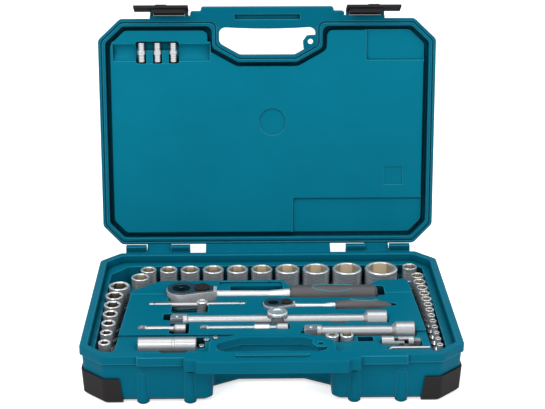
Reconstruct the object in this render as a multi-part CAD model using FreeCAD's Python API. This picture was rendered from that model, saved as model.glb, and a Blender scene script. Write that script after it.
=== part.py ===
"""A socket wrench set in its open case: half-inch and quarter-inch drive tools in a double-walled carrying case.

Millimetres. +X is to the right, +Y to the hinges at the back, +Z up. The origin is on the floor,
under the middle of the base. The lid stands open. Depths are counted forward from the base's back rim edge.
"""
import FreeCAD, Part
import math
import os

V = FreeCAD.Vector

# Half-inch drive sockets: outer diameter, opening across flats, length
BACK_SOCKETS = [
    (19.8, 13.0, 38.0), (22.1, 15.0, 38.0), (24.0, 17.0, 38.0), (26.4, 18.0, 38.0), (26.8, 19.0, 38.0),
    (26.6, 20.0, 38.0), (30.4, 22.0, 40.0), (33.9, 24.0, 42.0), (36.9, 27.0, 44.0), (41.2, 30.0, 46.0),
]
CORNER_SOCKET = (22.6, 16.0, 38.0)
STAR_SOCKETS = [
    (25.7, 18.5, 38.0), (22.0, 16.5, 38.0), (20.3, 14.8, 38.0), (18.3, 13.0, 38.0),
    (16.8, 11.4, 38.0), (14.6, 9.6, 38.0), (14.1, 8.6, 38.0),
]
HALF_SQUARE = 12.7
HALF_FOOT_R = 10.2
SOCKET_GAP = 3.95
STAR_GAP = 4.6
SOCKET_PROUD = 6.0
SOCKET_SQUARE_DEPTH = 15.0
SOCKET_OPENING_SHARE = 0.48

# Quarter-inch drive sockets: outer diameter, opening across flats
SMALL_SOCKETS = [
    (18.3, 14.0), (15.4, 12.0), (15.1, 11.0), (13.7, 10.0), (13.1, 9.0), (12.6, 8.0), (10.8, 7.0),
    (10.4, 6.5), (8.9, 6.0), (7.9, 5.5), (7.4, 5.0), (6.8, 4.5), (6.6, 4.0), (7.1, 4.0),
]
SMALL_LENGTH = 25.0
SMALL_SQUARE = 6.35
SMALL_FOOT_R = 5.9
SMALL_GAP = 3.4
SMALL_SQUARE_DEPTH = 8.0
CORNER_TO_SMALL = 6.85

# Half-inch ratchet
HEAD_R = 18.0
HEAD_BELOW_AXIS = 11.0
HEAD_ABOVE_AXIS = 8.5
COVER_T = 1.5
HEAD_TAPER = 43.0
NECK_R = 6.0
NECK_LENGTH = 89.0
GRIP_LENGTH = 106.0
GRIP_R = 12.5
GRIP_SHAPE = ((0.0, 0.8), (0.03, 0.9), (0.35, 1.0), (0.7, 0.93), (0.965, 0.93), (1.0, 0.6))
GEAR_R = 13.0
GEAR_TEETH = 36
DISC_R = 10.7
SELECTOR_OFFSET = 25.3
SELECTOR_R = 9.3
BUTTON_R = 3.4
BUTTON_TRAVEL = 2.5

# Quarter-inch ratchet
SMALL_HEAD_R = 12.5
SMALL_HEAD_BELOW = 5.7
SMALL_HEAD_ABOVE = 4.8
SMALL_COVER_T = 1.2
SMALL_HEAD_TAPER = 26.0
SMALL_NECK_R = 3.8
SMALL_NECK_LENGTH = 48.0
SMALL_GRIP_LENGTH = 67.0
SMALL_GRIP_R = 9.0
SMALL_GRIP_SHAPE = ((0.0, 0.62), (0.08, 0.78), (0.25, 0.93), (0.45, 1.0), (0.7, 0.9), (0.88, 0.6), (1.0, 0.28))
SMALL_GRIP_TIP = 6.7
SMALL_GRIP_FRONT = 3.0
SMALL_GEAR_R = 8.6
SMALL_DISC_R = 6.2
SMALL_SELECTOR_OFFSET = 15.5
SMALL_SELECTOR_R = 6.0

# Bars, extensions and the other tools
LONG_BAR_LENGTH = 252.0
SHORT_BAR_LENGTH = 126.3
BAR_R = 6.7
BAR_END_R = 11.5
BAR_END_LENGTH = 25.0
TEE_HEAD_R = 12.0
TEE_BODY_R = 9.6
SMALL_BAR_LENGTHS = (54.4, 101.3)
SMALL_BAR_R = 3.5
SMALL_END_R = 6.0
SMALL_END_LENGTH = 13.0
SLEEVE_R = 5.2
SLEEVE_LENGTH = 18.0
TBAR_LENGTH = 115.5
TBAR_R = 3.0
TBAR_SLIDER_R = 6.4
SPARK_LENGTH = 65.4
SPARK_R = 10.4
SPARK_HEX = 16.0
INSERT_T = 1.6
JOINT_LENGTH = 44.0
JOINT_R = 6.8
KEY_LENGTH = 46.0
KEY_FLATS = 3.0
KEY_SHORT_ARM = 13.0
ADAPTER_R = 7.5
ADAPTER_LENGTH = 27.0
BIT_FLATS = 6.35
BIT_LENGTH = 25.0
BIT_PROUD = 2.0
LID_ADAPTER_R = 3.8
LID_ADAPTER_COLLAR_R = 5.0
LID_ADAPTER_LENGTH = 24.0
LID_ADAPTER_PITCH = 20.2
LID_ADAPTER_SINK = 1.8

# Gaps between the rows of tools, from the hinges towards the handle
TROUGH_BACK = 22.0
TROUGH_CLEAR = 2.4
TROUGH_SPARE = 5.0
BEND_REACH = 34.0
BAY_WALL = 10.0
LAND_STEP = 7.0
RATCHET_GAP = 26.0
TBAR_GAP = 6.0
GRIP_GAP = 9.0
LONG_BAR_GAP = 13.5
TEE_GAP = 2.5
SHORT_BAR_GAP = 8.0
SPARK_GAP = 27.6
JOINT_GAP = 8.7
KEY_GAP = 6.7
ADAPTER_GAP = 4.0
FRONT_MARGIN = 33.1

# Finger wells beside the tools
NECK_WELL = 26.0
NECK_WELL_DEPTH = 9.0
NECK_STEP = 9.0
NECK_STEP_DEPTH = 2.5
GRIP_WELL = 9.5
GRIP_WELL_SHIFT = 6.0
TBAR_WELL_LEFT = 36.0
TBAR_WELL_FRONT = 27.0
TEE_WELL_LEFT = 27.0
BAR_WELL = (60.0, 82.0)
BAR_WELL_DEPTH = 14.0
END_WELL = 9.0
END_WELL_DEPTH = 12.0
SPARK_WELL = 9.5
SPARE_POCKET = (28.8, 46.8)
SHORT_WELL = 11.0
END_CLEAR = 1.4

# Gaps along the rows, from left to right
SMALL_BAR_SPACE = 16.4
SHORT_BAR_SPACE = 18.2
MIDDLE_SHIFT = 5.7
COLUMN_GAP = 28.2
COLUMN_MARGIN = 27.5
BACK_ROW_SHIFT = -4.75
RATCHET_HEAD_X = -107.3
SMALL_RATCHET_HEAD_X = 3.8
LONG_BAR_X = -116.8
TEE_HEAD_X = 7.8
TBAR_X = -144.8
TBAR_SLIDER_X = -81.5

# Clearances
POCKET_CLEAR = 0.6
SEAT_GAP = 0.3
RUNNING_GAP = 0.05
PART_GAP = 0.3

# Case
BASE_HEIGHT = 60.0
LID_HEIGHT = 30.0
LID_GAP = 0.4
LID_OPEN_ANGLE = 98.2
FOOT_HEIGHT = 2.5
WALL = 2.5
BOTTOM_ROUND = 3.5
EDGE_ROUND = 1.6
INNER_EDGE = 0.8
TRAY_WALL = 2.0
RIM_WIDTH = 9.0
RIM_HEIGHT = 10.0
RIM_PROUD = 2.5
DRAFT = 2.5
LEDGE_WIDTH = 3.5
LEDGE_T = 2.2
TRAY_CLEAR = 2.7
TRAY_GAP = 0.2
LAND_RISE = 2.5
TROUGH_DEPTH = 30.0
SMALL_TROUGH_DEPTH = 19.0
LINER_RISE = 5.0
GROOVE_WIDTH = 5.4
GROOVE_DEPTH = 8.0
LINER_T = 2.5
BACK_CHAMFER_WIDTH = 24.0
BACK_CHAMFER_DEPTH = 25.0
FRONT_CHAMFER_WIDTH = 27.6
FRONT_CHAMFER_DEPTH = 26.0
CORNER_ROUND = 8.0
NOTCH_HALF = 61.0
NOTCH_INNER_HALF = 35.0
NOTCH_DEPTH = 45.5
NOTCH_SLANT = 14.5
HANDLE_HALF = 83.5
HANDLE_STEP_HALF = 97.0
HANDLE_REACH = 15.0
HANDLE_STEP_REACH = 9.5
HANDLE_BAR_DEPTH = 27.4
HANDLE_T = 15.0
HANDLE_BOW = 2.2
HOLE_ROUND = 8.0
GROOVE_HALF = 41.3
GRIP_RIB_WIDTH = 4.5
GRIP_RIB_RISE = 2.5
GRIP_GROOVE_PLAY = 1.0
PAD_WIDTH = 240.0
PAD_DEPTH = 160.0
RIB_PLACES = (91.0, 143.0)
RIB_R = 7.0
RIB_SINK = 3.2
RIB_TOP = 38.0
GUARD_TOP = 31.0
GUARD_T = 2.2
GUARD_FRONT_REACH = 49.0
GUARD_SIDE_REACH = 62.0
GUARD_SLANT = 3.5
GUARD_GAP = 0.1
TAB_T = 5.0
TAB_HOLE_R = 3.3

# Hinges and latches
HINGE_BACK = 11.2
HINGE_BELOW = 7.2
KNUCKLE_R = 6.0
HINGE_PIN_R = 2.5
KNUCKLES = ((101.0, 125.5), (157.5, 184.0))
TONGUE = (126.0, 157.0)
SPINE_HALF = 81.0
HOOD_HALF = 4.0
HOOD_RISE = 12.0
LATCH_SIDE_GAP = 2.0
LATCH_WIDTH = 68.0
LATCH_EAR_SPAN = 49.0
LATCH_EAR_T = 4.0
LATCH_BUMP = (27.0, 41.0)
LATCH_PIN_R = 1.5
LATCH_BARREL_R = 3.0
LATCH_OUT = 7.5
LATCH_UP = 5.0
LATCH_LENGTH = 25.0
LATCH_T = 3.0
LATCH_LEDGE = 4.0
LATCH_HOOK_REACH = 5.5
LATCH_HOOK_DROP = 16.7
LATCH_HOOK_T = 4.5
LATCH_OPEN_ANGLE = 20.0

# Recesses of the lid's liner: left, right, near and far depth, how deep
ADAPTER_POCKET = (-167.0, -112.0, 235.7, 263.7)
ADAPTER_DIVIDER = (8.7, 16.3, 1.0)
UPPER_RECESS = (126.0, 210.0, 239.0, 290.0, 3.0)
LOWER_RECESS = (32.6, 210.0, 2.0, 60.0, 3.0)
MARK_RECESS = (150.0, 174.5, 77.0, 101.0, 1.0)
ROUND_RECESS = (6.2, 160.2, 17.3, 1.5)
LINER_TROUGH = (-196.0, -73.0, 249.5, 11.0, 7.0)
RIM_GROOVE = (3.2, 5.2)
RIM_GROOVE_DEPTH = 1.5

# Heights that follow
FLOOR_Z = FOOT_HEIGHT + WALL
LONGEST_SOCKET = max(size[2] for size in BACK_SOCKETS)
SOCKET_TOP_Z = FLOOR_Z + TRAY_CLEAR + TRAY_WALL + SEAT_GAP + LONGEST_SOCKET
PLATEAU_Z = SOCKET_TOP_Z - SOCKET_PROUD
LAND_Z = PLATEAU_Z + LAND_RISE
AXIS_Z = PLATEAU_Z
TROUGH_FLOOR_Z = SOCKET_TOP_Z - TROUGH_DEPTH
SMALL_TROUGH_FLOOR_Z = SOCKET_TOP_Z - SMALL_TROUGH_DEPTH
LID_RIM_Z = BASE_HEIGHT + LID_GAP
LID_TOP_Z = LID_RIM_Z + LID_HEIGHT
LINER_Z = LID_RIM_Z + LINER_RISE

# Rows that follow, as depths from the back rim edge
LARGEST_R = max(size[0] for size in BACK_SOCKETS) / 2
BACK_ROW = TROUGH_BACK + TROUGH_CLEAR + LARGEST_R
TROUGH_FRONT = BACK_ROW + LARGEST_R + TROUGH_CLEAR
RATCHET_ROW = TROUGH_FRONT + RATCHET_GAP + HEAD_R
TBAR_ROW = RATCHET_ROW + HEAD_R + TBAR_GAP + TBAR_R
SMALL_RATCHET_ROW = RATCHET_ROW + GRIP_R + GRIP_GAP + SMALL_HEAD_R
LONG_BAR_ROW = SMALL_RATCHET_ROW + SMALL_HEAD_R + LONG_BAR_GAP + TEE_HEAD_R
SMALL_BAR_ROW = LONG_BAR_ROW + TEE_HEAD_R + TEE_GAP + SMALL_END_R
SHORT_BAR_ROW = LONG_BAR_ROW + BAR_END_R + SHORT_BAR_GAP + BAR_END_R
SPARK_ROW = SMALL_BAR_ROW + SMALL_END_R + SPARK_GAP + SPARK_R
JOINT_ROW = SHORT_BAR_ROW + BAR_END_R + JOINT_GAP + JOINT_R
KEY_ROW = JOINT_ROW + JOINT_R + KEY_GAP + KEY_FLATS / 2
ADAPTER_ROW = SHORT_BAR_ROW + BAR_R + ADAPTER_GAP + ADAPTER_R
CASE_DEPTH = SPARK_ROW + SPARK_R + FRONT_MARGIN

# Places along the rows that follow
MIDDLE_LENGTH = sum(SMALL_BAR_LENGTHS) + SMALL_BAR_SPACE + SHORT_BAR_SPACE + SHORT_BAR_LENGTH
MIDDLE_LEFT = MIDDLE_SHIFT - MIDDLE_LENGTH / 2
MIDDLE_RIGHT = MIDDLE_SHIFT + MIDDLE_LENGTH / 2
FIRST_SMALL_BAR_X = MIDDLE_LEFT
SECOND_SMALL_BAR_X = FIRST_SMALL_BAR_X + SMALL_BAR_LENGTHS[0] + SMALL_BAR_SPACE
SHORT_BAR_X = MIDDLE_RIGHT - SHORT_BAR_LENGTH
COLUMN_X = MIDDLE_LENGTH / 2 + COLUMN_GAP
CASE_WIDTH = 2 * (COLUMN_X + COLUMN_MARGIN)
SPARK_X = MIDDLE_LEFT + 2.6
JOINT_X = MIDDLE_RIGHT + 4.0 - JOINT_LENGTH
KEY_X = MIDDLE_RIGHT + 13.0 - KEY_LENGTH
ADAPTER_X = SHORT_BAR_X + 31.0
ADAPTER_PITCH = 2 * ADAPTER_R + 1.6
HALF_WIDTH = CASE_WIDTH / 2
HALF_DEPTH = CASE_DEPTH / 2
HINGE_Y = HALF_DEPTH + HINGE_BACK
HINGE_Z = BASE_HEIGHT - HINGE_BELOW
LATCH_INNER = HANDLE_STEP_HALF + LATCH_SIDE_GAP
LATCH_OUTER = LATCH_INNER + LATCH_WIDTH
LATCH_EAR_OUTER = LATCH_INNER + LATCH_EAR_SPAN
LATCH_Y = -HALF_DEPTH - LATCH_OUT
LATCH_Z = LID_RIM_Z + LATCH_UP
BIT_PLACES = ((-78.8, 42.3), (-73.7, 58.0), (-63.5, 63.0))

nodes = {}


def at_depth(depth):
    """Turns a depth from the back rim edge into Y."""
    return HALF_DEPTH - depth


# Small shapes


def box(x0, x1, y0, y1, z0, z1):
    return Part.makeBox(x1 - x0, y1 - y0, z1 - z0, V(x0, y0, z0))


def post(x, y, z0, z1, radius):
    return Part.makeCylinder(radius, z1 - z0, V(x, y, z0))


def rod(x0, x1, y, z, radius):
    return Part.makeCylinder(radius, x1 - x0, V(x0, y, z), V(1, 0, 0))


def joined(shapes):
    """Fuses shapes into one and drops the seams between them."""
    return shapes[0].multiFuse(shapes[1:]).removeSplitter()


def turned_x(profile, y, z):
    """Turns a profile of (x, radius) points about an axis along X."""
    corners = [V(profile[0][0], y, z)]
    corners += [V(x, y, z + radius) for x, radius in profile]
    corners += [V(profile[-1][0], y, z), corners[0]]
    return Part.Face(Part.makePolygon(corners)).revolve(V(0, y, z), V(1, 0, 0), 360)


def turned_z(profile, x, y):
    """Turns a profile of (radius, z) points about an upright axis."""
    corners = [V(x, y, profile[0][1])]
    corners += [V(x + radius, y, z) for radius, z in profile]
    corners += [V(x, y, profile[-1][1]), corners[0]]
    return Part.Face(Part.makePolygon(corners)).revolve(V(x, y, 0), V(0, 0, 1), 360)


def rounded_wire(points, radius, z):
    """A closed outline at one height, with every corner rounded as far as its edges allow."""
    corners = [V(x, y, z) for x, y in points]
    arcs = []
    for index, corner in enumerate(corners):
        before = corners[index - 1] - corner
        after = corners[(index + 1) % len(corners)] - corner
        half = before.getAngle(after) / 2
        reach = min(radius / math.tan(half), 0.45 * min(before.Length, after.Length))
        fitted = reach * math.tan(half)
        before.normalize()
        after.normalize()
        inward = (before + after).normalize()
        middle = corner + inward * (fitted / math.sin(half) - fitted)
        arcs.append((corner + before * reach, middle, corner + after * reach))
    edges = []
    for index, (start, middle, end) in enumerate(arcs):
        edges.append(Part.Arc(start, middle, end).toShape())
        edges.append(Part.LineSegment(end, arcs[(index + 1) % len(arcs)][0]).toShape())
    return Part.Wire(edges)


def prism(points, z0, z1, radius=0.0):
    """An upright prism on an outline, with its upright edges rounded."""
    if radius > 0:
        wire = rounded_wire(points, radius, z0)
    else:
        corners = [V(x, y, z0) for x, y in points]
        wire = Part.makePolygon(corners + corners[:1])
    return Part.Face(wire).extrude(V(0, 0, z1 - z0))


def regular_points(x, y, flats, sides=6, turn=0.0):
    """The corners of a regular outline, from its size across flats."""
    radius = flats / 2 / math.cos(math.pi / sides)
    steps = [turn + 2 * math.pi * index / sides for index in range(sides)]
    return [(x + radius * math.cos(step), y + radius * math.sin(step)) for step in steps]


def star_points(x, y, outer, inner, lobes):
    """The corners of a star outline with its lobes at the outer radius."""
    points = []
    for index in range(2 * lobes):
        radius = outer if index % 2 == 0 else inner
        step = math.pi * index / lobes
        points.append((x + radius * math.cos(step), y + radius * math.sin(step)))
    return points


def inset_points(points, inset):
    """Moves every edge of an anticlockwise outline inwards."""
    moved = []
    for index, (x, y) in enumerate(points):
        x0, y0 = points[index - 1]
        x2, y2 = points[(index + 1) % len(points)]
        first = math.hypot(x - x0, y - y0)
        second = math.hypot(x2 - x, y2 - y)
        nx0, ny0 = (y0 - y) / first, (x - x0) / first
        nx1, ny1 = (y - y2) / second, (x2 - x) / second
        scale = inset / (1 + nx0 * nx1 + ny0 * ny1)
        moved.append((x + scale * (nx0 + nx1), y + scale * (ny0 + ny1)))
    return moved


def mirrored(shape):
    return shape.mirror(V(0, 0, 0), V(1, 0, 0))


# Case outline, shared by both halves


def case_outline(inset):
    front = -HALF_DEPTH
    slant_y = front + NOTCH_DEPTH - NOTCH_SLANT
    points = [
        (HALF_WIDTH, front + FRONT_CHAMFER_DEPTH),
        (HALF_WIDTH, HALF_DEPTH - BACK_CHAMFER_DEPTH),
        (HALF_WIDTH - BACK_CHAMFER_WIDTH, HALF_DEPTH),
        (BACK_CHAMFER_WIDTH - HALF_WIDTH, HALF_DEPTH),
        (-HALF_WIDTH, HALF_DEPTH - BACK_CHAMFER_DEPTH),
        (-HALF_WIDTH, front + FRONT_CHAMFER_DEPTH),
        (FRONT_CHAMFER_WIDTH - HALF_WIDTH, front),
        (-NOTCH_HALF, front),
        (-NOTCH_HALF, slant_y),
        (-NOTCH_INNER_HALF, front + NOTCH_DEPTH),
        (NOTCH_INNER_HALF, front + NOTCH_DEPTH),
        (NOTCH_HALF, slant_y),
        (NOTCH_HALF, front),
        (HALF_WIDTH - FRONT_CHAMFER_WIDTH, front),
    ]
    return inset_points(points, inset)


def case_prism(inset, z0, z1):
    return prism(case_outline(inset), z0, z1, CORNER_ROUND)


def case_taper(inset0, z0, inset1, z1):
    """The case's outline drawn from one height and inset to another."""
    low = rounded_wire(case_outline(inset0), CORNER_ROUND, z0)
    high = rounded_wire(case_outline(inset1), CORNER_ROUND, z1)
    return Part.makeLoft([low, high], True, True)


def case_body(grow):
    """The outside of the base below its rim, grown outwards by a little where asked."""
    low = RIM_PROUD + DRAFT - grow
    knee_z = FOOT_HEIGHT + BOTTOM_ROUND
    flange_z = BASE_HEIGHT - RIM_HEIGHT
    foot = case_taper(low + BOTTOM_ROUND, FOOT_HEIGHT - grow, low, knee_z)
    return joined([foot, case_taper(low, knee_z, RIM_PROUD - grow, flange_z + 1)])


def softened(shape, *levels):
    """Rounds the edges that lie at the given heights."""
    edges = []
    for edge in shape.Edges:
        bounds = edge.BoundBox
        if any(abs(bounds.ZMin - z) < 1e-6 and abs(bounds.ZMax - z) < 1e-6 for z in levels):
            edges.append(edge)
    return shape.makeFillet(EDGE_ROUND, edges)


def handle_bar(z0, z1):
    """The carrying handle across the mouth of the notch, with its stepped ends."""
    front = -HALF_DEPTH
    back = front - HANDLE_REACH + HANDLE_BAR_DEPTH
    outline = [
        (-HANDLE_STEP_HALF, back), (-HANDLE_STEP_HALF, front - HANDLE_STEP_REACH),
        (-HANDLE_HALF, front - HANDLE_STEP_REACH), (-HANDLE_HALF, front - HANDLE_REACH),
        (HANDLE_HALF, front - HANDLE_REACH), (HANDLE_HALF, front - HANDLE_STEP_REACH),
        (HANDLE_STEP_HALF, front - HANDLE_STEP_REACH), (HANDLE_STEP_HALF, back),
    ]
    bow_r = (NOTCH_HALF ** 2 + HANDLE_BOW ** 2) / (2 * HANDLE_BOW)
    bow = box(-NOTCH_HALF, NOTCH_HALF, back - 2 * HANDLE_BOW, back + 1, z0 - 1, z1 + 1)
    bow = bow.cut(post(0, back - bow_r, z0 - 2, z1 + 2, bow_r))
    bar = softened(prism(outline, z0, z1, 2.5).cut(bow), z0, z1)
    corner_x = NOTCH_HALF - HOLE_ROUND
    corner_y = back - HANDLE_BOW * (corner_x / NOTCH_HALF) ** 2 + HOLE_ROUND
    corner = box(corner_x, NOTCH_HALF + 0.5, back - HANDLE_BOW - 2, corner_y, z0, z1)
    corner = corner.cut(post(corner_x, corner_y, z0 - 1, z1 + 1, HOLE_ROUND))
    return joined([bar] + both_sides(corner))


def grip_strip(half_length, width, z0, z1):
    """The strip along the handle where the base's rib meets the lid's groove."""
    y = -HALF_DEPTH - HANDLE_REACH + HANDLE_BAR_DEPTH / 2 - 1.2
    half = width / 2
    outline = [(-half_length, y - half), (half_length, y - half), (half_length, y + half), (-half_length, y + half)]
    return prism(outline, z0, z1, 2.0)


def lock_tab(z0, z1):
    """The padlock eye in the right corner of the finger opening."""
    slant_y = -HALF_DEPTH + NOTCH_DEPTH - NOTCH_SLANT
    right = NOTCH_HALF + 1.5
    outline = [
        (right, slant_y - 11.0), (right, slant_y + 2.0), (NOTCH_HALF - 15.0, slant_y + 10.5),
        (NOTCH_HALF - 16.0, slant_y - 3.0), (NOTCH_HALF - 11.0, slant_y - 10.0),
    ]
    hole = post(NOTCH_HALF - 6.5, slant_y - 2.3, z0 - 1, z1 + 1, TAB_HOLE_R)
    return prism(outline, z0, z1, 3.0).cut(hole)


def knuckle(x0, x1):
    """One of the base's hinge knuckles, with its arm to the back wall and the hood over its pin."""
    barrel = rod(x0, x1, HINGE_Y, HINGE_Z, KNUCKLE_R)
    arm = box(x0, x1, HALF_DEPTH - RIM_PROUD - 1, HINGE_Y, HINGE_Z - KNUCKLE_R, HINGE_Z + KNUCKLE_R - 1)
    hood = box(x0, x1, HINGE_Y - HOOD_HALF, HINGE_Y + HOOD_HALF, HINGE_Z, HINGE_Z + HOOD_RISE)
    return joined([barrel, arm, hood])


def tongue(x0, x1, bore):
    """One of the lid's hinge barrels, with its web to the lid's back rim."""
    barrel = rod(x0, x1, HINGE_Y, HINGE_Z, KNUCKLE_R)
    low = LID_RIM_Z + 0.5
    high = LID_RIM_Z + RIM_HEIGHT - 1.0
    side = [
        V(x0, HINGE_Y - KNUCKLE_R, HINGE_Z), V(x0, HINGE_Y, HINGE_Z + KNUCKLE_R), V(x0, HALF_DEPTH - 2, high),
        V(x0, HALF_DEPTH - 2, low), V(x0, HALF_DEPTH + 0.3, low),
    ]
    web = Part.Face(Part.makePolygon(side + side[:1])).extrude(V(x1 - x0, 0, 0))
    shape = barrel.fuse(web)
    if bore:
        shape = shape.cut(rod(x0 - 1, x1 + 1, HINGE_Y, HINGE_Z, HINGE_PIN_R + RUNNING_GAP))
    return shape


def both_sides(shape):
    return [shape, mirrored(shape)]


# Base


def front_rib(x, side):
    """A half-round rib that runs down the wall and ends as a foot."""
    axis_y = side * (HALF_DEPTH - RIM_PROUD - DRAFT - RIB_SINK)
    return turned_z([(RIB_R - 1, 0), (RIB_R, 1), (RIB_R, RIB_TOP), (RIB_R - 3.5, RIB_TOP + 5)], x, axis_y)


def base_shell():
    flange_z = BASE_HEIGHT - RIM_HEIGHT
    ledge_z = PLATEAU_Z - LINER_T
    flange = softened(case_prism(0, flange_z, BASE_HEIGHT), BASE_HEIGHT)
    pad = box(-PAD_WIDTH / 2, PAD_WIDTH / 2, -PAD_DEPTH / 2, PAD_DEPTH / 2, 0, FLOOR_Z)
    solids = [case_body(0), flange, pad, handle_bar(BASE_HEIGHT - HANDLE_T, BASE_HEIGHT)]
    solids.append(lock_tab(BASE_HEIGHT - TAB_T, BASE_HEIGHT))
    rib_half = GROOVE_HALF - GRIP_GROOVE_PLAY
    solids.append(grip_strip(rib_half, GRIP_RIB_WIDTH, BASE_HEIGHT - 1, BASE_HEIGHT + GRIP_RIB_RISE))
    for x in RIB_PLACES:
        for side in (-1, 1):
            solids += both_sides(front_rib(x, side))
    for x0, x1 in KNUCKLES:
        solids += both_sides(knuckle(x0, x1))
    keeper = box(
        HANDLE_STEP_HALF - 1, LATCH_EAR_OUTER, -HALF_DEPTH - LATCH_LEDGE, 3 - HALF_DEPTH, flange_z, BASE_HEIGHT,
    )
    solids += both_sides(keeper)
    shell = joined(solids)
    inner0 = RIM_PROUD + DRAFT + WALL
    inner1 = RIM_PROUD + WALL
    cavity = case_taper(inner0, FLOOR_Z, inner1, ledge_z - LEDGE_T)
    pad_inner = box(
        WALL - PAD_WIDTH / 2, PAD_WIDTH / 2 - WALL, WALL - PAD_DEPTH / 2, PAD_DEPTH / 2 - WALL, WALL, FLOOR_Z + 1,
    )
    ledge_hole = case_prism(RIM_WIDTH + LEDGE_WIDTH, ledge_z - LEDGE_T - 1, ledge_z + 1)
    mouth = case_prism(RIM_WIDTH, ledge_z, BASE_HEIGHT + 1)
    lip = case_taper(RIM_WIDTH, BASE_HEIGHT - INNER_EDGE, RIM_WIDTH - INNER_EDGE, BASE_HEIGHT)
    cuts = [cavity, pad_inner, ledge_hole, mouth, lip]
    for x0, x1 in KNUCKLES:
        cuts += both_sides(rod(x0 - 1, x1 + 1, HINGE_Y, HINGE_Z, HINGE_PIN_R + RUNNING_GAP))
    return shell.cut(cuts)


def corner_guard():
    """The black guard that wraps the right front lower corner."""
    x0 = HALF_WIDTH - GUARD_FRONT_REACH
    y1 = -HALF_DEPTH + GUARD_SIDE_REACH
    taper = DRAFT / (BASE_HEIGHT - RIM_HEIGHT - FOOT_HEIGHT - BOTTOM_ROUND)
    low = RIM_PROUD + DRAFT - GUARD_T
    high = low - taper * (GUARD_TOP - BOTTOM_ROUND)
    foot = case_taper(low + BOTTOM_ROUND, 0, low, BOTTOM_ROUND)
    outer = joined([foot, case_taper(low, BOTTOM_ROUND, high, GUARD_TOP)])
    front = -HALF_DEPTH - 10
    region = [V(x0, front, -1), V(HALF_WIDTH + 10, front, -1), V(HALF_WIDTH + 10, front, GUARD_TOP + 1)]
    region.append(V(x0 + GUARD_SLANT, front, GUARD_TOP + 1))
    wedge = Part.Face(Part.makePolygon(region + region[:1])).extrude(V(0, y1 - front, 0))
    return outer.common(wedge).cut(case_body(GUARD_GAP))


# Pockets of the tray

hollows = []
walls = []


def pocket(outline, floor, radius, top=PLATEAU_Z):
    """A pocket with upright walls, sunk from the tray's plateau or from the raised land in its middle."""
    hollows.append(prism(outline, floor, LAND_Z + 1, radius))
    walls.append(prism(inset_points(outline, -TRAY_WALL), floor - TRAY_WALL, top, radius + TRAY_WALL))


def slot(x0, x1, y, half, floor, radius=1.5):
    """A pocket with straight sides, centred on a row."""
    pocket([(x0, y - half), (x1, y - half), (x1, y + half), (x0, y + half)], floor, radius)


def cup(x, y, radius, floor):
    hollows.append(post(x, y, floor, LAND_Z + 1, radius))
    walls.append(post(x, y, floor - TRAY_WALL, PLATEAU_Z, radius + TRAY_WALL))


def channel(x0, x1, y, radius):
    """A pocket for a stretch of a tool that lies along X with its axis at the plateau."""
    slot(x0 - POCKET_CLEAR, x1 + POCKET_CLEAR, y, radius + POCKET_CLEAR, AXIS_Z - radius - SEAT_GAP)


# Sockets


def socket(x, y, top, outer, flats, length, square, foot_r, square_depth, star=False):
    """A socket that stands on its drive end, with its opening upwards."""
    seat = top - length
    nose_r = outer / 2
    foot = max(nose_r, foot_r)
    edge = 0.06 * foot
    shoulder = seat + 0.46 * length
    band = seat + 0.36 * length
    groove = 0.05 * foot
    profile = [(foot - edge, seat), (foot, seat + edge), (foot, band - 1.2), (foot - groove, band - 0.8)]
    profile += [(foot - groove, band + 0.8), (foot, band + 1.2), (foot, shoulder)]
    if foot > nose_r:
        profile.append((nose_r, shoulder + 1.4 * (foot - nose_r)))
    profile += [(nose_r, top - edge), (nose_r - edge, top)]
    depth = SOCKET_OPENING_SHARE * length
    if star:
        outline = star_points(x, y, flats / 2 * 1.12, flats / 2 * 0.86, 6)
    else:
        outline = regular_points(x, y, flats)
    opening = prism(outline, top - depth, top + 1)
    drive = box(x - square / 2, x + square / 2, y - square / 2, y + square / 2, seat - 1, seat + square_depth)
    through = post(x, y, seat, top, min(0.42 * square, 0.4 * flats))
    lead_r = flats / 2 / math.cos(math.pi / 6)
    lead = turned_z([(lead_r - 0.8, top - 0.9), (lead_r + 0.4, top + 0.3)], x, y)
    return turned_z(profile, x, y).cut([opening, drive, through, lead])


def half_socket(name, x, y, size, star=False):
    outer, flats, length = size
    square = HALF_SQUARE + PART_GAP
    nodes[name] = socket(x, y, SOCKET_TOP_Z, outer, flats, length, square, HALF_FOOT_R, SOCKET_SQUARE_DEPTH, star)
    foot = max(outer / 2, HALF_FOOT_R)
    cup(x, y, foot + POCKET_CLEAR, SOCKET_TOP_Z - length - SEAT_GAP)


def spaced(radii, gap, start):
    """Places pieces in a line, each the given gap from the one before."""
    places = [start]
    for index in range(1, len(radii)):
        places.append(places[-1] + radii[index - 1] + radii[index] + gap)
    return places


def half_sockets():
    radii = [max(size[0] / 2, HALF_FOOT_R) for size in BACK_SOCKETS]
    row = spaced(radii, SOCKET_GAP, 0.0)
    shift = BACK_ROW_SHIFT - row[-1] / 2
    for index, size in enumerate(BACK_SOCKETS):
        half_socket("half_socket_%02d" % (index + 1), row[index] + shift, at_depth(BACK_ROW), size)
    corner_x = shift - 8.6
    corner_depth = BACK_ROW + radii[0] + CORNER_SOCKET[0] / 2 + SOCKET_GAP - 2.5
    half_socket("corner_socket", corner_x, at_depth(corner_depth), CORNER_SOCKET)
    star_radii = [max(size[0] / 2, HALF_FOOT_R) for size in STAR_SOCKETS]
    depths = spaced(star_radii, STAR_GAP, corner_depth + star_radii[0] + STAR_GAP + 8.7)
    for index, size in enumerate(STAR_SOCKETS):
        x = -COLUMN_X - 1.0 + max(0.0, star_radii[index] - 11.5) * 2.4
        half_socket("star_socket_%d" % (index + 1), x, at_depth(depths[index]), size, True)
    return row[-1] + shift + radii[-1], row[0] + shift, corner_depth, depths[-1] + star_radii[-1]


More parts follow.
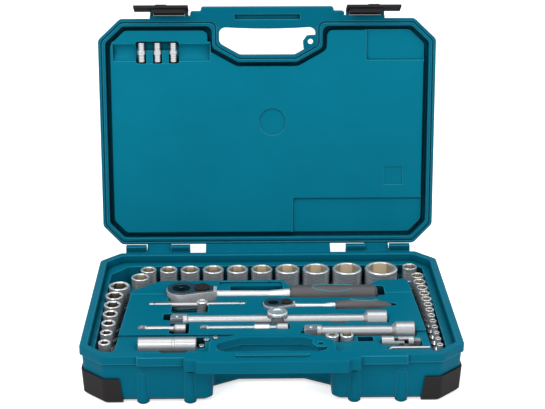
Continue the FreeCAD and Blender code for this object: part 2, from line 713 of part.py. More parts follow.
def small_sockets(right_end):
    """The quarter-inch sockets: the first ends the back row, the rest make the right column."""
    radii = [max(outer / 2, SMALL_FOOT_R) for outer, flats in SMALL_SOCKETS]
    first_depth = BACK_ROW - 4.2
    places = [(right_end + CORNER_TO_SMALL + radii[0], first_depth)]
    depths = spaced(radii[1:], SMALL_GAP, first_depth + radii[0] + radii[1] + SMALL_GAP + 7.6)
    for index, depth in enumerate(depths):
        places.append((COLUMN_X + 1.0 - max(0.0, radii[index + 1] - 6.2) * 1.6, depth))
    shapes = []
    square = SMALL_SQUARE + PART_GAP / 2
    for (x, depth), (outer, flats) in zip(places, SMALL_SOCKETS):
        y = at_depth(depth)
        shapes.append(
            socket(x, y, SOCKET_TOP_Z, outer, flats, SMALL_LENGTH, square, SMALL_FOOT_R, SMALL_SQUARE_DEPTH)
        )
        cup(x, y, max(outer / 2, SMALL_FOOT_R) + POCKET_CLEAR, SOCKET_TOP_Z - SMALL_LENGTH - SEAT_GAP)
    nodes["small_sockets_large"] = Part.Compound(shapes[:7])
    nodes["small_sockets_fine"] = Part.Compound(shapes[7:])
    return depths[-1] + radii[-1]


def socket_troughs(right_end, left_start, corner_depth, star_end, small_end):
    """The two long troughs that the rows of sockets stand in. Returns the outline of the land between them."""
    left_wall = -COLUMN_X - 12.0
    right_wall = COLUMN_X + 9.0
    back = at_depth(TROUGH_BACK)
    front = at_depth(TROUGH_FRONT + TROUGH_SPARE)
    grip_x = RATCHET_HEAD_X + HEAD_TAPER + NECK_LENGTH
    bay = at_depth(RATCHET_ROW - GRIP_R - POCKET_CLEAR - BAY_WALL)
    bay_left = grip_x - 6.0
    bay_right = grip_x + GRIP_LENGTH - 8.0
    star_front = at_depth(star_end + TROUGH_CLEAR)
    small_front = at_depth(small_end + TROUGH_CLEAR)
    bend = at_depth(corner_depth + BEND_REACH)
    split = right_end + 3.0
    left_inner = -COLUMN_X + 12.5
    right_inner = COLUMN_X - 14.5
    edge = [
        (left_inner - 2.0, star_front), (left_inner + 6.0, bend), (left_start + 18.0, front), (bay_left, front),
        (bay_left + 4.0, bay), (bay_right, bay), (bay_right + 14.0, front),
    ]
    outline = [(left_wall, star_front)] + edge + [
        (split, front), (split, back), (left_start - 26.0, back), (left_wall, at_depth(TROUGH_BACK + 24.0)),
    ]
    pocket(outline, TROUGH_FLOOR_Z, 4.0)
    outline = [
        (split - 1.0, back), (split - 1.0, front), (right_inner, front),
        (COLUMN_X - 7.0, small_front), (right_wall - 8.0, small_front), (right_wall, small_front + 9.0),
        (right_wall, at_depth(TROUGH_BACK + 10.0)),
        (right_wall - 9.0, back),
    ]
    pocket(outline, SMALL_TROUGH_FLOOR_Z, 3.0)
    step_x = SHORT_BAR_X - 6.0
    near = at_depth(SHORT_BAR_ROW)
    far = at_depth(SHORT_BAR_ROW + LAND_STEP)
    share = (near - front) / (small_front - front)
    land = [(left_inner - 1.0, far), (step_x, far), (step_x, near)]
    land.append((right_inner + share * (COLUMN_X - 7.0 - right_inner), near))
    return land + [(right_inner, front)] + edge[:0:-1]


# Ratchets


def pear_outline(x, y, radius, taper, half, inset):
    """A round head with straight sides down to the neck, as a disc and a wedge."""
    reach = math.hypot(taper, half)
    angle = math.atan2(half, taper) + math.acos((radius - inset) / reach)
    dx = (radius - inset) * math.cos(angle)
    dy = (radius - inset) * math.sin(angle)
    end = half - inset / 2
    return [(x + dx, y - dy), (x + taper, y - end), (x + taper, y + end), (x + dx, y + dy)]


def pear(x, y, radius, taper, half, inset, z0, z1):
    wedge = prism(pear_outline(x, y, radius, taper, half, inset), z0, z1)
    return joined([post(x, y, z0, z1, radius - inset), wedge])


def pointed_pocket(x0, x1, y, radius):
    """The small grip's pocket, which runs to a point at its right end and is wider in front."""
    tip = x1 + SMALL_GRIP_TIP
    tip_half = 0.24 * radius
    shoulder = x0 + 0.72 * (x1 - x0)
    start = x0 - POCKET_CLEAR
    back = y + radius + POCKET_CLEAR
    front = y - radius - POCKET_CLEAR - SMALL_GRIP_FRONT
    outline = [
        (start, front), (shoulder, front), (tip, y - tip_half), (tip, y + tip_half), (shoulder, back), (start, back),
    ]
    pocket(outline, AXIS_Z - radius - SEAT_GAP, 1.5)


def ratchet(prefix, x, y, sizes):
    """A ratchet that lies face up along X, with its drive square downwards."""
    head_r, taper, neck_r, neck_length, grip_length, grip_r = sizes["outline"]
    below, above, cover_t = sizes["heights"]
    gear_r, disc_r, selector_at, selector_r, square, teeth = sizes["works"]
    low = AXIS_Z - below
    high = AXIS_Z + above
    top = high + cover_t
    neck_x = x + taper
    grip_x = neck_x + neck_length
    grip_end = grip_x + grip_length
    tang_r = 0.62 * neck_r
    tang_end = grip_end - 0.22 * grip_length
    hub_r = 0.72 * gear_r
    cavity_floor = low + 2.4
    selector_x = x + selector_at
    stem_r = 0.42 * selector_r
    pin_floor = high - 0.55 * (high - cavity_floor)

    head = pear(x, y, head_r, taper, 1.25 * neck_r, 0, low, high)
    neck = turned_x(
        [(neck_x - 0.35 * taper, 1.2 * neck_r), (neck_x + 4, neck_r), (grip_x - 0.3 * neck_length, 0.92 * neck_r),
         (grip_x - 5, 1.25 * neck_r), (grip_x, 1.25 * neck_r), (grip_x, tang_r), (tang_end, tang_r)], y, AXIS_Z)
    body = joined([head, neck])
    cuts = [post(x, y, cavity_floor, high + 1, gear_r + PART_GAP)]
    cuts.append(post(x, y, low - 1, cavity_floor + 1, hub_r + PART_GAP))
    cuts.append(post(selector_x, y, pin_floor, high + 1, stem_r + PART_GAP))
    cuts.append(box(x + 0.6 * gear_r, selector_x, y - 0.42 * gear_r, y + 0.42 * gear_r, pin_floor, high + 1))
    nodes[prefix + "_body"] = body.cut(cuts)

    cover = pear(x, y, head_r, 0.9 * taper, 1.35 * neck_r, 1.0, high, top)
    cover_holes = [post(x, y, high - 1, top + 1, disc_r + PART_GAP)]
    cover_holes.append(post(selector_x, y, high - 1, top + 1, stem_r + PART_GAP))
    nodes[prefix + "_cover"] = cover.cut(cover_holes)

    gear_low = cavity_floor + PART_GAP
    gear_high = high - PART_GAP
    pitch = 0.06 * gear_r
    gear = prism(star_points(x, y, gear_r, gear_r - pitch, teeth), gear_low, gear_high)
    disc = post(x, y, gear_high, top, disc_r)
    hub = post(x, y, low - 1.0, gear_low, hub_r)
    half = square / 2
    stub = box(x - half, x + half, y - half, y + half, low - 1.0 - 1.1 * square, low)
    tip_z = low - 1.1 * square
    tip = turned_z([(half * 1.05, tip_z - 1), (half * 1.5, tip_z + 2), (half * 1.5, low)], x, y)
    drive = joined([gear, disc, hub, stub.common(tip)])

    knob_low = top + PART_GAP
    knob = post(selector_x, y, knob_low, knob_low + 1.25 * cover_t, selector_r)
    thumb = box(
        selector_x - 0.22 * selector_r, selector_x + 0.22 * selector_r, y - 0.85 * selector_r, y + 0.85 * selector_r,
        knob_low, knob_low + 2.0 * cover_t,
    )
    stem = post(selector_x, y, pin_floor + PART_GAP, knob_low + 0.1, stem_r)
    nodes[prefix + "_selector"] = joined([knob, thumb, stem])

    grip_start = grip_x + PART_GAP
    shape = sizes["grip"]
    grip = turned_x(
        [(grip_start + along * (grip_end - grip_start), out * grip_r) for along, out in shape], y, AXIS_Z)
    nodes[prefix + "_grip"] = grip.cut(rod(grip_x - 1, tang_end + PART_GAP, y, AXIS_Z, tang_r + RUNNING_GAP))

    cup(x, y, head_r + POCKET_CLEAR, low - SEAT_GAP)
    pocket(pear_outline(x, y, head_r, taper + 2, 1.25 * neck_r, -2 * POCKET_CLEAR), low - SEAT_GAP, 0.5)
    cup(x, y, half * 1.45 + POCKET_CLEAR, low - 1.0 - 1.1 * square - SEAT_GAP)
    cup(x, y, hub_r + POCKET_CLEAR, low - 1.0 - SEAT_GAP)
    channel(neck_x, grip_x, y, 1.25 * neck_r)
    sizes["pocket"](grip_x, grip_end, y, grip_r)
    return {"drive": drive, "top": top, "low": low, "neck_x": neck_x, "grip_x": grip_x, "grip_end": grip_end,
            "pin_floor": pin_floor, "selector_x": selector_x}


def half_ratchet():
    y = at_depth(RATCHET_ROW)
    x = RATCHET_HEAD_X
    sizes = {
        "outline": (HEAD_R, HEAD_TAPER, NECK_R, NECK_LENGTH, GRIP_LENGTH, GRIP_R),
        "heights": (HEAD_BELOW_AXIS, HEAD_ABOVE_AXIS, COVER_T),
        "works": (GEAR_R, DISC_R, SELECTOR_OFFSET, SELECTOR_R, HALF_SQUARE, GEAR_TEETH),
        "grip": GRIP_SHAPE,
        "pocket": channel,
    }
    made = ratchet("half_ratchet", x, y, sizes)
    neck_x, grip_x, grip_end = made["neck_x"], made["grip_x"], made["grip_end"]
    head_front = at_depth(TBAR_ROW - TBAR_R - POCKET_CLEAR - TRAY_WALL)
    well_left = x - 15.0
    well_right = neck_x + 1.5
    head_well = [
        (well_left, head_front), (neck_x - 2.0, head_front), (well_right, y - 6.0), (well_right, y), (well_left, y),
    ]
    pocket(head_well, made["low"] - SEAT_GAP, 2.0)
    slot(neck_x + 16.0, grip_x - 8.0, y + NECK_WELL / 2, NECK_WELL / 2, AXIS_Z - NECK_WELL_DEPTH, 5.0)
    step_y = y + NECK_WELL + NECK_STEP / 2 - 1
    slot(neck_x + 2.0, grip_x - 9.0, step_y, NECK_STEP / 2 + 1, LAND_Z - NECK_STEP_DEPTH, 3.0)
    slot(grip_end - 4.0, grip_end + GRIP_WELL, y + GRIP_WELL_SHIFT, GRIP_R + 2.0, AXIS_Z - NECK_WELL_DEPTH, 4.0)
    button_low = made["low"]
    bore = post(x, y, button_low - BUTTON_TRAVEL - PART_GAP, made["top"] + 1, BUTTON_R + RUNNING_GAP)
    nodes["half_ratchet_drive"] = made["drive"].cut(bore)
    button_top = made["top"] + BUTTON_TRAVEL
    nodes["half_ratchet_button"] = turned_z(
        [(BUTTON_R, button_low), (BUTTON_R, button_top - 0.8), (BUTTON_R - 1.0, button_top)], x, y)
    pawl_x = x + GEAR_R + PART_GAP
    pawl_end = made["selector_x"] - 0.42 * SELECTOR_R - PART_GAP
    pawl_low = made["pin_floor"] + PART_GAP
    pawl_high = AXIS_Z + HEAD_ABOVE_AXIS - PART_GAP
    nodes["half_ratchet_pawl"] = prism(
        [(pawl_x, y - 3.2), (pawl_end, y - 4.6), (pawl_end, y + 4.6), (pawl_x, y + 3.2)], pawl_low, pawl_high)


def small_ratchet():
    y = at_depth(SMALL_RATCHET_ROW)
    sizes = {
        "outline": (SMALL_HEAD_R, SMALL_HEAD_TAPER, SMALL_NECK_R, SMALL_NECK_LENGTH, SMALL_GRIP_LENGTH, SMALL_GRIP_R),
        "heights": (SMALL_HEAD_BELOW, SMALL_HEAD_ABOVE, SMALL_COVER_T),
        "works": (SMALL_GEAR_R, SMALL_DISC_R, SMALL_SELECTOR_OFFSET, SMALL_SELECTOR_R, SMALL_SQUARE, GEAR_TEETH),
        "grip": SMALL_GRIP_SHAPE,
        "pocket": pointed_pocket,
    }
    made = ratchet("small_ratchet", SMALL_RATCHET_HEAD_X, y, sizes)
    nodes["small_ratchet_drive"] = made["drive"]


# Extensions and T-bars


def extension(x0, x1, y, square, bar_r, end_r, end_length):
    """A bar along X with a male square on its left end and a square socket in its right end."""
    z = AXIS_Z
    half = square / 2
    square_end = x0 + 1.15 * square
    end_x = x1 - end_length
    collar_r = 1.3 * half
    collar_end = square_end + 0.5 * square
    bar = turned_x(
        [(square_end, collar_r), (collar_end - 2, collar_r), (collar_end, bar_r),
         (end_x - 0.5 * (end_r - bar_r), bar_r), (end_x + 0.5 * (end_r - bar_r), end_r), (x1 - 0.8, end_r),
         (x1, end_r - 0.8)], y, z)
    stub = box(x0, square_end + 1, y - half, y + half, z - half, z + half)
    tip = turned_x([(x0, half * 1.05), (x0 + 2, half * 1.42), (square_end + 1, half * 1.42)], y, z)
    ball = Part.makeSphere(0.22 * square, V(x0 + 0.6 * square, y, z + half - 0.12 * square))
    opening = half + PART_GAP / 2
    socket_hole = box(x1 - 1.2 * square, x1 + 1, y - opening, y + opening, z - opening, z + opening)
    channel(x0, collar_end, y, collar_r)
    channel(collar_end, end_x, y, bar_r)
    channel(end_x - 0.5 * (end_r - bar_r), x1 + END_CLEAR, y, end_r)
    return joined([bar, stub.common(tip), ball]).cut(socket_hole)


def tee_head(x, y, body_r, collar_r, bar_r, square, above, below):
    """A sliding head that stands upright on a bar, with its square downwards."""
    top = AXIS_Z + above
    low = AXIS_Z - below
    half = square / 2
    profile = [(body_r - 1, low), (body_r, low + 1), (body_r, top - 0.45 * above), (collar_r, top - 0.3 * above)]
    profile += [(collar_r, top - 1.2), (collar_r - 1.5, top), (0.62 * body_r, top), (0.55 * body_r, top - 1.0)]
    stub = box(x - half, x + half, y - half, y + half, low - 1.1 * square, low + 1)
    tip_z = low - 1.1 * square
    tip = turned_z([(half * 1.05, tip_z), (half * 1.42, tip_z + 2), (half * 1.42, low + 1)], x, y)
    bore = rod(x - collar_r - 1, x + collar_r + 1, y, AXIS_Z, bar_r + RUNNING_GAP)
    return joined([turned_z(profile, x, y), stub.common(tip)]).cut(bore)


def long_bar():
    y = at_depth(LONG_BAR_ROW)
    nodes["long_extension"] = extension(
        LONG_BAR_X, LONG_BAR_X + LONG_BAR_LENGTH, y, HALF_SQUARE, BAR_R, BAR_END_R, BAR_END_LENGTH)
    above = 12.5
    below = 15.0
    nodes["long_tee_head"] = tee_head(TEE_HEAD_X, y, TEE_BODY_R, TEE_HEAD_R, BAR_R, HALF_SQUARE, above, below)
    well = AXIS_Z - below - 1.1 * HALF_SQUARE - SEAT_GAP
    slot(TEE_HEAD_X - TEE_WELL_LEFT, TEE_HEAD_X + TEE_HEAD_R + 1.0, y, TEE_HEAD_R + POCKET_CLEAR, well, 5.0)
    left, right = BAR_WELL
    slot(TEE_HEAD_X + left, TEE_HEAD_X + right, y, BAR_END_R + 1.0, AXIS_Z - BAR_WELL_DEPTH, 5.0)
    slot(LONG_BAR_X - END_WELL, LONG_BAR_X + 4.0, y + 7.0, END_WELL, AXIS_Z - END_WELL_DEPTH, 3.0)


def short_bars():
    nodes["short_extension"] = extension(
        SHORT_BAR_X, SHORT_BAR_X + SHORT_BAR_LENGTH, at_depth(SHORT_BAR_ROW), HALF_SQUARE, BAR_R, BAR_END_R,
        BAR_END_LENGTH - 1.5)
    y = at_depth(SMALL_BAR_ROW)
    first, second = SMALL_BAR_LENGTHS
    nodes["small_extension"] = extension(
        FIRST_SMALL_BAR_X, FIRST_SMALL_BAR_X + first, y, SMALL_SQUARE, SMALL_BAR_R, SMALL_END_R, SMALL_END_LENGTH)
    bar_end = SECOND_SMALL_BAR_X + second
    nodes["small_long_extension"] = extension(
        SECOND_SMALL_BAR_X, bar_end, y, SMALL_SQUARE, SMALL_BAR_R, SMALL_END_R, SMALL_END_LENGTH)
    sleeve_end = bar_end - SMALL_END_LENGTH - 8.0
    sleeve_x = sleeve_end - SLEEVE_LENGTH
    sleeve = turned_x(
        [(sleeve_x, SLEEVE_R - 0.8), (sleeve_x + 0.8, SLEEVE_R), (sleeve_end - 0.8, SLEEVE_R),
         (sleeve_end, SLEEVE_R - 0.8)], y, AXIS_Z)
    nodes["spinner_sleeve"] = sleeve.cut(rod(sleeve_x - 1, sleeve_end + 1, y, AXIS_Z, SMALL_BAR_R + RUNNING_GAP))
    channel(sleeve_x, sleeve_end, y, SLEEVE_R)
    end = FIRST_SMALL_BAR_X + first
    slot(end - 19.0, end + 4.0, y - 3.3, 14.0, AXIS_Z - END_WELL_DEPTH, 4.0)
    well_x = SHORT_BAR_X + 1.8 * HALF_SQUARE
    well_end = SHORT_BAR_X + SHORT_BAR_LENGTH - BAR_END_LENGTH
    well_y = at_depth(SHORT_BAR_ROW) - SHORT_WELL / 2
    slot(well_x, well_end, well_y, SHORT_WELL / 2, AXIS_Z - BAR_R - SEAT_GAP, 2.0)


def tee_bar():
    y = at_depth(TBAR_ROW)
    x1 = TBAR_X + TBAR_LENGTH
    edge = 0.8
    nodes["tee_bar_rod"] = turned_x(
        [(TBAR_X, TBAR_R - edge), (TBAR_X + edge, TBAR_R), (TBAR_X + 5, TBAR_R), (TBAR_X + 5.6, TBAR_R - 0.5),
         (TBAR_X + 7, TBAR_R - 0.5), (TBAR_X + 7.6, TBAR_R), (x1 - 7.6, TBAR_R), (x1 - 7, TBAR_R - 0.5),
         (x1 - 5.6, TBAR_R - 0.5), (x1 - 5, TBAR_R), (x1 - edge, TBAR_R), (x1, TBAR_R - edge)], y, AXIS_Z)
    above = 5.5
    below = 12.0
    nodes["tee_bar_slider"] = tee_head(
        TBAR_SLIDER_X, y, TBAR_SLIDER_R, TBAR_SLIDER_R + 0.2, TBAR_R, SMALL_SQUARE, above, below)
    channel(TBAR_X, x1, y, TBAR_R)
    well = AXIS_Z - below - 1.1 * SMALL_SQUARE - SEAT_GAP
    left = TBAR_SLIDER_X - TBAR_WELL_LEFT
    right = TBAR_SLIDER_X + TBAR_SLIDER_R + 2 * POCKET_CLEAR
    back = y + TBAR_SLIDER_R + 2 * POCKET_CLEAR
    front = y - TBAR_WELL_FRONT
    pocket([(left, front), (right, front), (right, back), (left, back)], well, 4.0)


# Other tools


def spark_socket():
    y = at_depth(SPARK_ROW)
    x0 = SPARK_X
    x1 = SPARK_X + SPARK_LENGTH
    z = AXIS_Z
    outside = turned_x(
        [(x0, SPARK_R - 1), (x0 + 1, SPARK_R), (x0 + 0.58 * SPARK_LENGTH, SPARK_R),
         (x0 + 0.58 * SPARK_LENGTH + 0.5, SPARK_R - 0.5), (x0 + 0.63 * SPARK_LENGTH, SPARK_R - 0.5),
         (x0 + 0.63 * SPARK_LENGTH + 0.5, SPARK_R), (x1 - 1, SPARK_R), (x1, SPARK_R - 1)], y, z)
    hexagon = [V(x0 - 1, py, pz) for py, pz in regular_points(y, z, SPARK_HEX)]
    hex_depth = 0.3 * SPARK_LENGTH
    hex_hole = Part.Face(Part.makePolygon(hexagon + hexagon[:1])).extrude(V(hex_depth + 1, 0, 0))
    bore_r = SPARK_HEX / 2 - 0.4
    bore_end = x1 - 1.35 * HALF_SQUARE
    half = (HALF_SQUARE + PART_GAP) / 2
    drive = box(x1 - 1.2 * HALF_SQUARE, x1 + 1, y - half, y + half, z - half, z + half)
    cuts = [hex_hole, rod(x0 + hex_depth - 1, bore_end, y, z, bore_r), drive, rod(bore_end - 1, x1 - 2, y, z, 4.0)]
    nodes["spark_socket"] = outside.cut(cuts)
    insert = rod(x0 + hex_depth + PART_GAP, x0 + hex_depth + 14.0, y, z, bore_r - RUNNING_GAP)
    nodes["spark_socket_insert"] = insert.cut(rod(x0, x1, y, z, bore_r - INSERT_T))
    channel(x0, x1, y, SPARK_R)
    slot(x1 - 1.0, x1 + SPARK_WELL, y + 10.0, 12.5, AXIS_Z - END_WELL_DEPTH, 3.0)
    slot(x0 + 0.36 * SPARK_LENGTH, x0 + 0.86 * SPARK_LENGTH, y - 3.0, SPARK_R + 2.5, AXIS_Z - SPARK_R - 3.0, 5.0)


def yoke(x_face, x_end, y, radius, upright):
    """One end of the universal joint: a round body and two arms round the middle of the cross."""
    z = AXIS_Z
    middle = JOINT_X + JOINT_LENGTH / 2
    toward = 1 if x_face < middle else -1
    block_half = 0.5 * radius
    arm_tip = middle + toward * 3.2
    body = rod(min(x_face, x_end), max(x_face, x_end), y, z, radius)
    left = min(x_face, arm_tip)
    right = max(x_face, arm_tip)
    long_stub = rod(left, right, y, z, radius)
    inner = block_half + PART_GAP
    reach = radius + 1
    half_arm = 0.48 * radius
    if upright:
        gap = box(left - 1, right + 1, y - reach, y + reach, z - inner, z + inner)
        keep = box(left - 2, right + 2, y - half_arm, y + half_arm, z - reach, z + reach)
        pin_hole = post(middle, y, z - reach, z + reach, 1.5 + RUNNING_GAP)
    else:
        gap = box(left - 1, right + 1, y - inner, y + inner, z - reach, z + reach)
        keep = box(left - 2, right + 2, y - reach, y + reach, z - half_arm, z + half_arm)
        pin_hole = Part.makeCylinder(1.5 + RUNNING_GAP, 2 * reach, V(middle, y - reach, z), V(0, 1, 0))
    arms = long_stub.common(keep).cut(gap)
    return body.fuse(arms).removeSplitter().cut(pin_hole)


def universal_joint():
    y = at_depth(JOINT_ROW)
    z = AXIS_Z
    middle = JOINT_X + JOINT_LENGTH / 2
    x1 = JOINT_X + JOINT_LENGTH
    half = (SMALL_SQUARE + PART_GAP / 2) / 2
    left = yoke(middle - 8.2, JOINT_X, y, JOINT_R, False)
    nodes["joint_socket_yoke"] = left.cut(box(JOINT_X - 1, JOINT_X + 9, y - half, y + half, z - half, z + half))
    right = yoke(middle + 8.2, x1 - 8.0, y, JOINT_R - 0.4, True)
    half = SMALL_SQUARE / 2
    stub = box(x1 - 9.0, x1, y - half, y + half, z - half, z + half)
    tip = turned_x([(x1 - 9.0, half * 1.42), (x1 - 1.5, half * 1.42), (x1, half * 1.05)], y, z)
    nodes["joint_drive_yoke"] = joined([right, stub.common(tip)])
    block = 0.5 * (JOINT_R - 0.4) - PART_GAP
    pin = JOINT_R - 0.5
    core = box(middle - block, middle + block, y - block, y + block, z - block, z + block)
    cross_pins = [post(middle, y, z - pin + 0.4, z + pin - 0.4, 1.5)]
    cross_pins.append(Part.makeCylinder(1.5, 2 * pin, V(middle, y - pin, z), V(0, 1, 0)))
    nodes["joint_cross"] = joined([core] + cross_pins)
    channel(JOINT_X, middle + 4, y, JOINT_R)
    slot(middle - 4.0, x1 + 1.5, y, JOINT_R + 3.4, AXIS_Z - JOINT_R - SEAT_GAP, 2.0)


def hex_key():
    """An L-shaped key that lies along X, with its short arm down into a slot."""
    y = at_depth(KEY_ROW)
    z = AXIS_Z
    bend = 1.6 * KEY_FLATS
    x0 = KEY_X
    x1 = KEY_X + KEY_LENGTH
    outline = [V(x1, py, pz) for py, pz in regular_points(y, z, KEY_FLATS, 6, math.pi / 6)]
    profile = Part.makePolygon(outline + outline[:1])
    turn = bend * (1 - math.sqrt(0.5))
    path = Part.Wire([
        Part.LineSegment(V(x1, y, z), V(x0 + bend, y, z)).toShape(),
        Part.Arc(V(x0 + bend, y, z), V(x0 + turn, y, z - turn), V(x0, y, z - bend)).toShape(),
        Part.LineSegment(V(x0, y, z - bend), V(x0, y, z - KEY_SHORT_ARM)).toShape(),
    ])
    nodes["hex_key"] = path.makePipeShell([profile], True, False)
    channel(x0, x1, y, KEY_FLATS / 2 + 0.2)
    key_half = KEY_FLATS / 2 + 0.2 + POCKET_CLEAR
    slot(x0 - KEY_FLATS / 2 - POCKET_CLEAR, x0 + bend, y, key_half, z - KEY_SHORT_ARM - SEAT_GAP)


def upright_adapters():
    """Two round adapters that stand under the short extension."""
    y = at_depth(ADAPTER_ROW)
    seat = SOCKET_TOP_Z - ADAPTER_LENGTH
    square = 9.6
    for index, name in enumerate(("bit_adapter", "drive_adapter")):
        x = ADAPTER_X + index * ADAPTER_PITCH
        half = SMALL_SQUARE / 2
        outside = turned_z(
            [(ADAPTER_R - 2, seat), (ADAPTER_R, seat + 2), (ADAPTER_R, seat + 9), (ADAPTER_R - 0.6, seat + 9.6),
             (ADAPTER_R - 0.6, seat + 12), (ADAPTER_R, seat + 12.6), (ADAPTER_R, SOCKET_TOP_Z - 0.8),
             (ADAPTER_R - 0.8, SOCKET_TOP_Z)], x, y)
        if index == 0:
            opening = prism(regular_points(x, y, BIT_FLATS + 2 * PART_GAP), SOCKET_TOP_Z - 12.0, SOCKET_TOP_Z + 1)
        else:
            opening = prism(regular_points(x, y, square, 4, math.pi / 4), SOCKET_TOP_Z - 11.0, SOCKET_TOP_Z + 1)
        drive = box(x - half, x + half, y - half, y + half, seat - 1, seat + SMALL_SQUARE_DEPTH)
        nodes[name] = outside.cut([opening, drive])
    half = ADAPTER_R + POCKET_CLEAR
    slot(ADAPTER_X - half, ADAPTER_X + ADAPTER_PITCH + half, y, half, seat - SEAT_GAP, half - 0.1)
    left, right = SPARE_POCKET
    slot(ADAPTER_X + left, ADAPTER_X + right, y, 6.3, AXIS_Z - NECK_WELL_DEPTH, 2.0)


def driver_bits():
    top = PLATEAU_Z + BIT_PROUD
    seat = top - BIT_LENGTH
    shapes = []
    for x, from_front in BIT_PLACES:
        y = from_front - HALF_DEPTH
        body = prism(regular_points(x, y, BIT_FLATS), seat, top)
        corner_r = BIT_FLATS / 2 / math.cos(math.pi / 6)
        waist = BIT_FLATS * 0.38
        outside = turned_z(
            [(waist, seat), (waist, seat + 8), (corner_r, seat + 10), (corner_r, top - 1), (corner_r - 0.8, top)],
            x, y)
        shapes.append(body.common(outside))
        cup(x, y, corner_r + POCKET_CLEAR, seat - SEAT_GAP)
    nodes["driver_bits"] = Part.Compound(shapes)


def tool_tray(land):
    """The tray's moulding, parted along its rows and round the land, in sections that meet face to face."""
    ledge_z = PLATEAU_Z - LINER_T
    outside = RIM_WIDTH + TRAY_GAP
    wide_land = inset_points(land, -TRAY_WALL)
    deck = joined([case_prism(outside, ledge_z, PLATEAU_Z), prism(wide_land, ledge_z, LAND_Z)])
    deck = deck.cut(prism(inset_points(land, TRAY_WALL), ledge_z - 1, LAND_Z - LINER_T))
    moulding = joined([deck] + walls).cut(joined(hollows))
    core = prism(wide_land, 0, BASE_HEIGHT)
    middle = moulding.common(core)
    border = moulding.cut(core)
    far = CASE_DEPTH
    side = HALF_WIDTH
    front_row = SHORT_BAR_ROW + LAND_STEP
    cuts = [(middle, -side, side, 0, RATCHET_ROW), (middle, -side, side, RATCHET_ROW, LONG_BAR_ROW)]
    cuts.append((middle, -side, side, LONG_BAR_ROW, far))
    for x0, x1 in ((-side, 0), (0, side)):
        cuts += [(border, x0, x1, 0, TROUGH_FRONT), (border, x0, x1, TROUGH_FRONT, front_row)]
        cuts.append((border, x0, x1, front_row, far))
    sections = []
    for shape, x0, x1, near, end in cuts:
        sections += shape.common(box(x0, x1, at_depth(end), at_depth(near), 0, BASE_HEIGHT)).Solids
    return Part.Compound(sections)


# Lid, made shut and then opened


def lid_shell():
    flange_top = LID_RIM_Z + RIM_HEIGHT
    roof = LID_TOP_Z - WALL
    seat_z = LINER_Z + GROOVE_DEPTH + LINER_T
    knee_z = LID_TOP_Z - BOTTOM_ROUND
    inset = RIM_PROUD + DRAFT
    body = case_taper(RIM_PROUD, flange_top - 1, inset, knee_z)
    crown = case_taper(inset, knee_z, inset + BOTTOM_ROUND, LID_TOP_Z)
    flange = softened(case_prism(0, LID_RIM_Z, flange_top), LID_RIM_Z)
    solids = [flange, body, crown, handle_bar(LID_RIM_Z, LID_RIM_Z + HANDLE_T)]
    solids.append(lock_tab(LID_RIM_Z, LID_RIM_Z + TAB_T))
    solids += both_sides(tongue(TONGUE[0], TONGUE[1], True))
    solids.append(tongue(-SPINE_HALF, SPINE_HALF, False))
    ledge = box(
        HANDLE_STEP_HALF - 1, LATCH_EAR_OUTER, -HALF_DEPTH - LATCH_LEDGE, 3 - HALF_DEPTH, LID_RIM_Z, flange_top,
    )
    solids += both_sides(ledge)
    for x in (LATCH_INNER + 0.5, LATCH_EAR_OUTER - LATCH_EAR_T - 0.5):
        solids += both_sides(latch_ear(x, x + LATCH_EAR_T))
    shell = joined(solids)
    mouth = case_prism(RIM_WIDTH, LID_RIM_Z - 1, seat_z)
    lip = case_taper(RIM_WIDTH - INNER_EDGE, LID_RIM_Z, RIM_WIDTH, LID_RIM_Z + INNER_EDGE)
    ledge_hole = case_prism(RIM_WIDTH + LEDGE_WIDTH, seat_z - 1, seat_z + LEDGE_T + 1)
    cavity = case_taper(RIM_PROUD + WALL + 1.0, seat_z + LEDGE_T, RIM_PROUD + DRAFT + WALL, roof)
    groove_width = GRIP_RIB_WIDTH + 2 * GRIP_GROOVE_PLAY
    groove = grip_strip(GROOVE_HALF, groove_width, LID_RIM_Z - 1, LID_RIM_Z + GRIP_RIB_RISE + GRIP_GROOVE_PLAY)
    seam = case_prism(RIM_GROOVE[0], LID_RIM_Z - 1, LID_RIM_Z + RIM_GROOVE_DEPTH)
    seam = seam.cut(case_prism(RIM_GROOVE[1], LID_RIM_Z - 2, LID_RIM_Z + RIM_GROOVE_DEPTH + 1))
    pin_holes = [rod(LATCH_INNER, LATCH_EAR_OUTER, LATCH_Y, LATCH_Z, LATCH_PIN_R + RUNNING_GAP)]
    pin_holes.append(mirrored(pin_holes[0]))
    panel = prism([(-150, -70), (150, -70), (150, 105), (-150, 105)], LID_TOP_Z - 1.0, LID_TOP_Z + 1, 12.0)
    return shell.cut([mouth, lip, ledge_hole, cavity, groove, seam, panel] + pin_holes)


def liner_recess(left, right, near, far, depth):
    """A shallow recess in the liner, as its hollow and its backing."""
    outline = [(left, at_depth(far)), (right, at_depth(far)), (right, at_depth(near)), (left, at_depth(near))]
    top = LINER_Z + depth + LINER_T
    edge = RIM_WIDTH + GROOVE_WIDTH
    hollow = prism(outline, LINER_Z - 1, LINER_Z + depth, 3.0)
    backing = prism(inset_points(outline, -LINER_T), LINER_Z, top, 3.0 + LINER_T)
    return hollow, backing.common(case_prism(edge, LINER_Z, top))


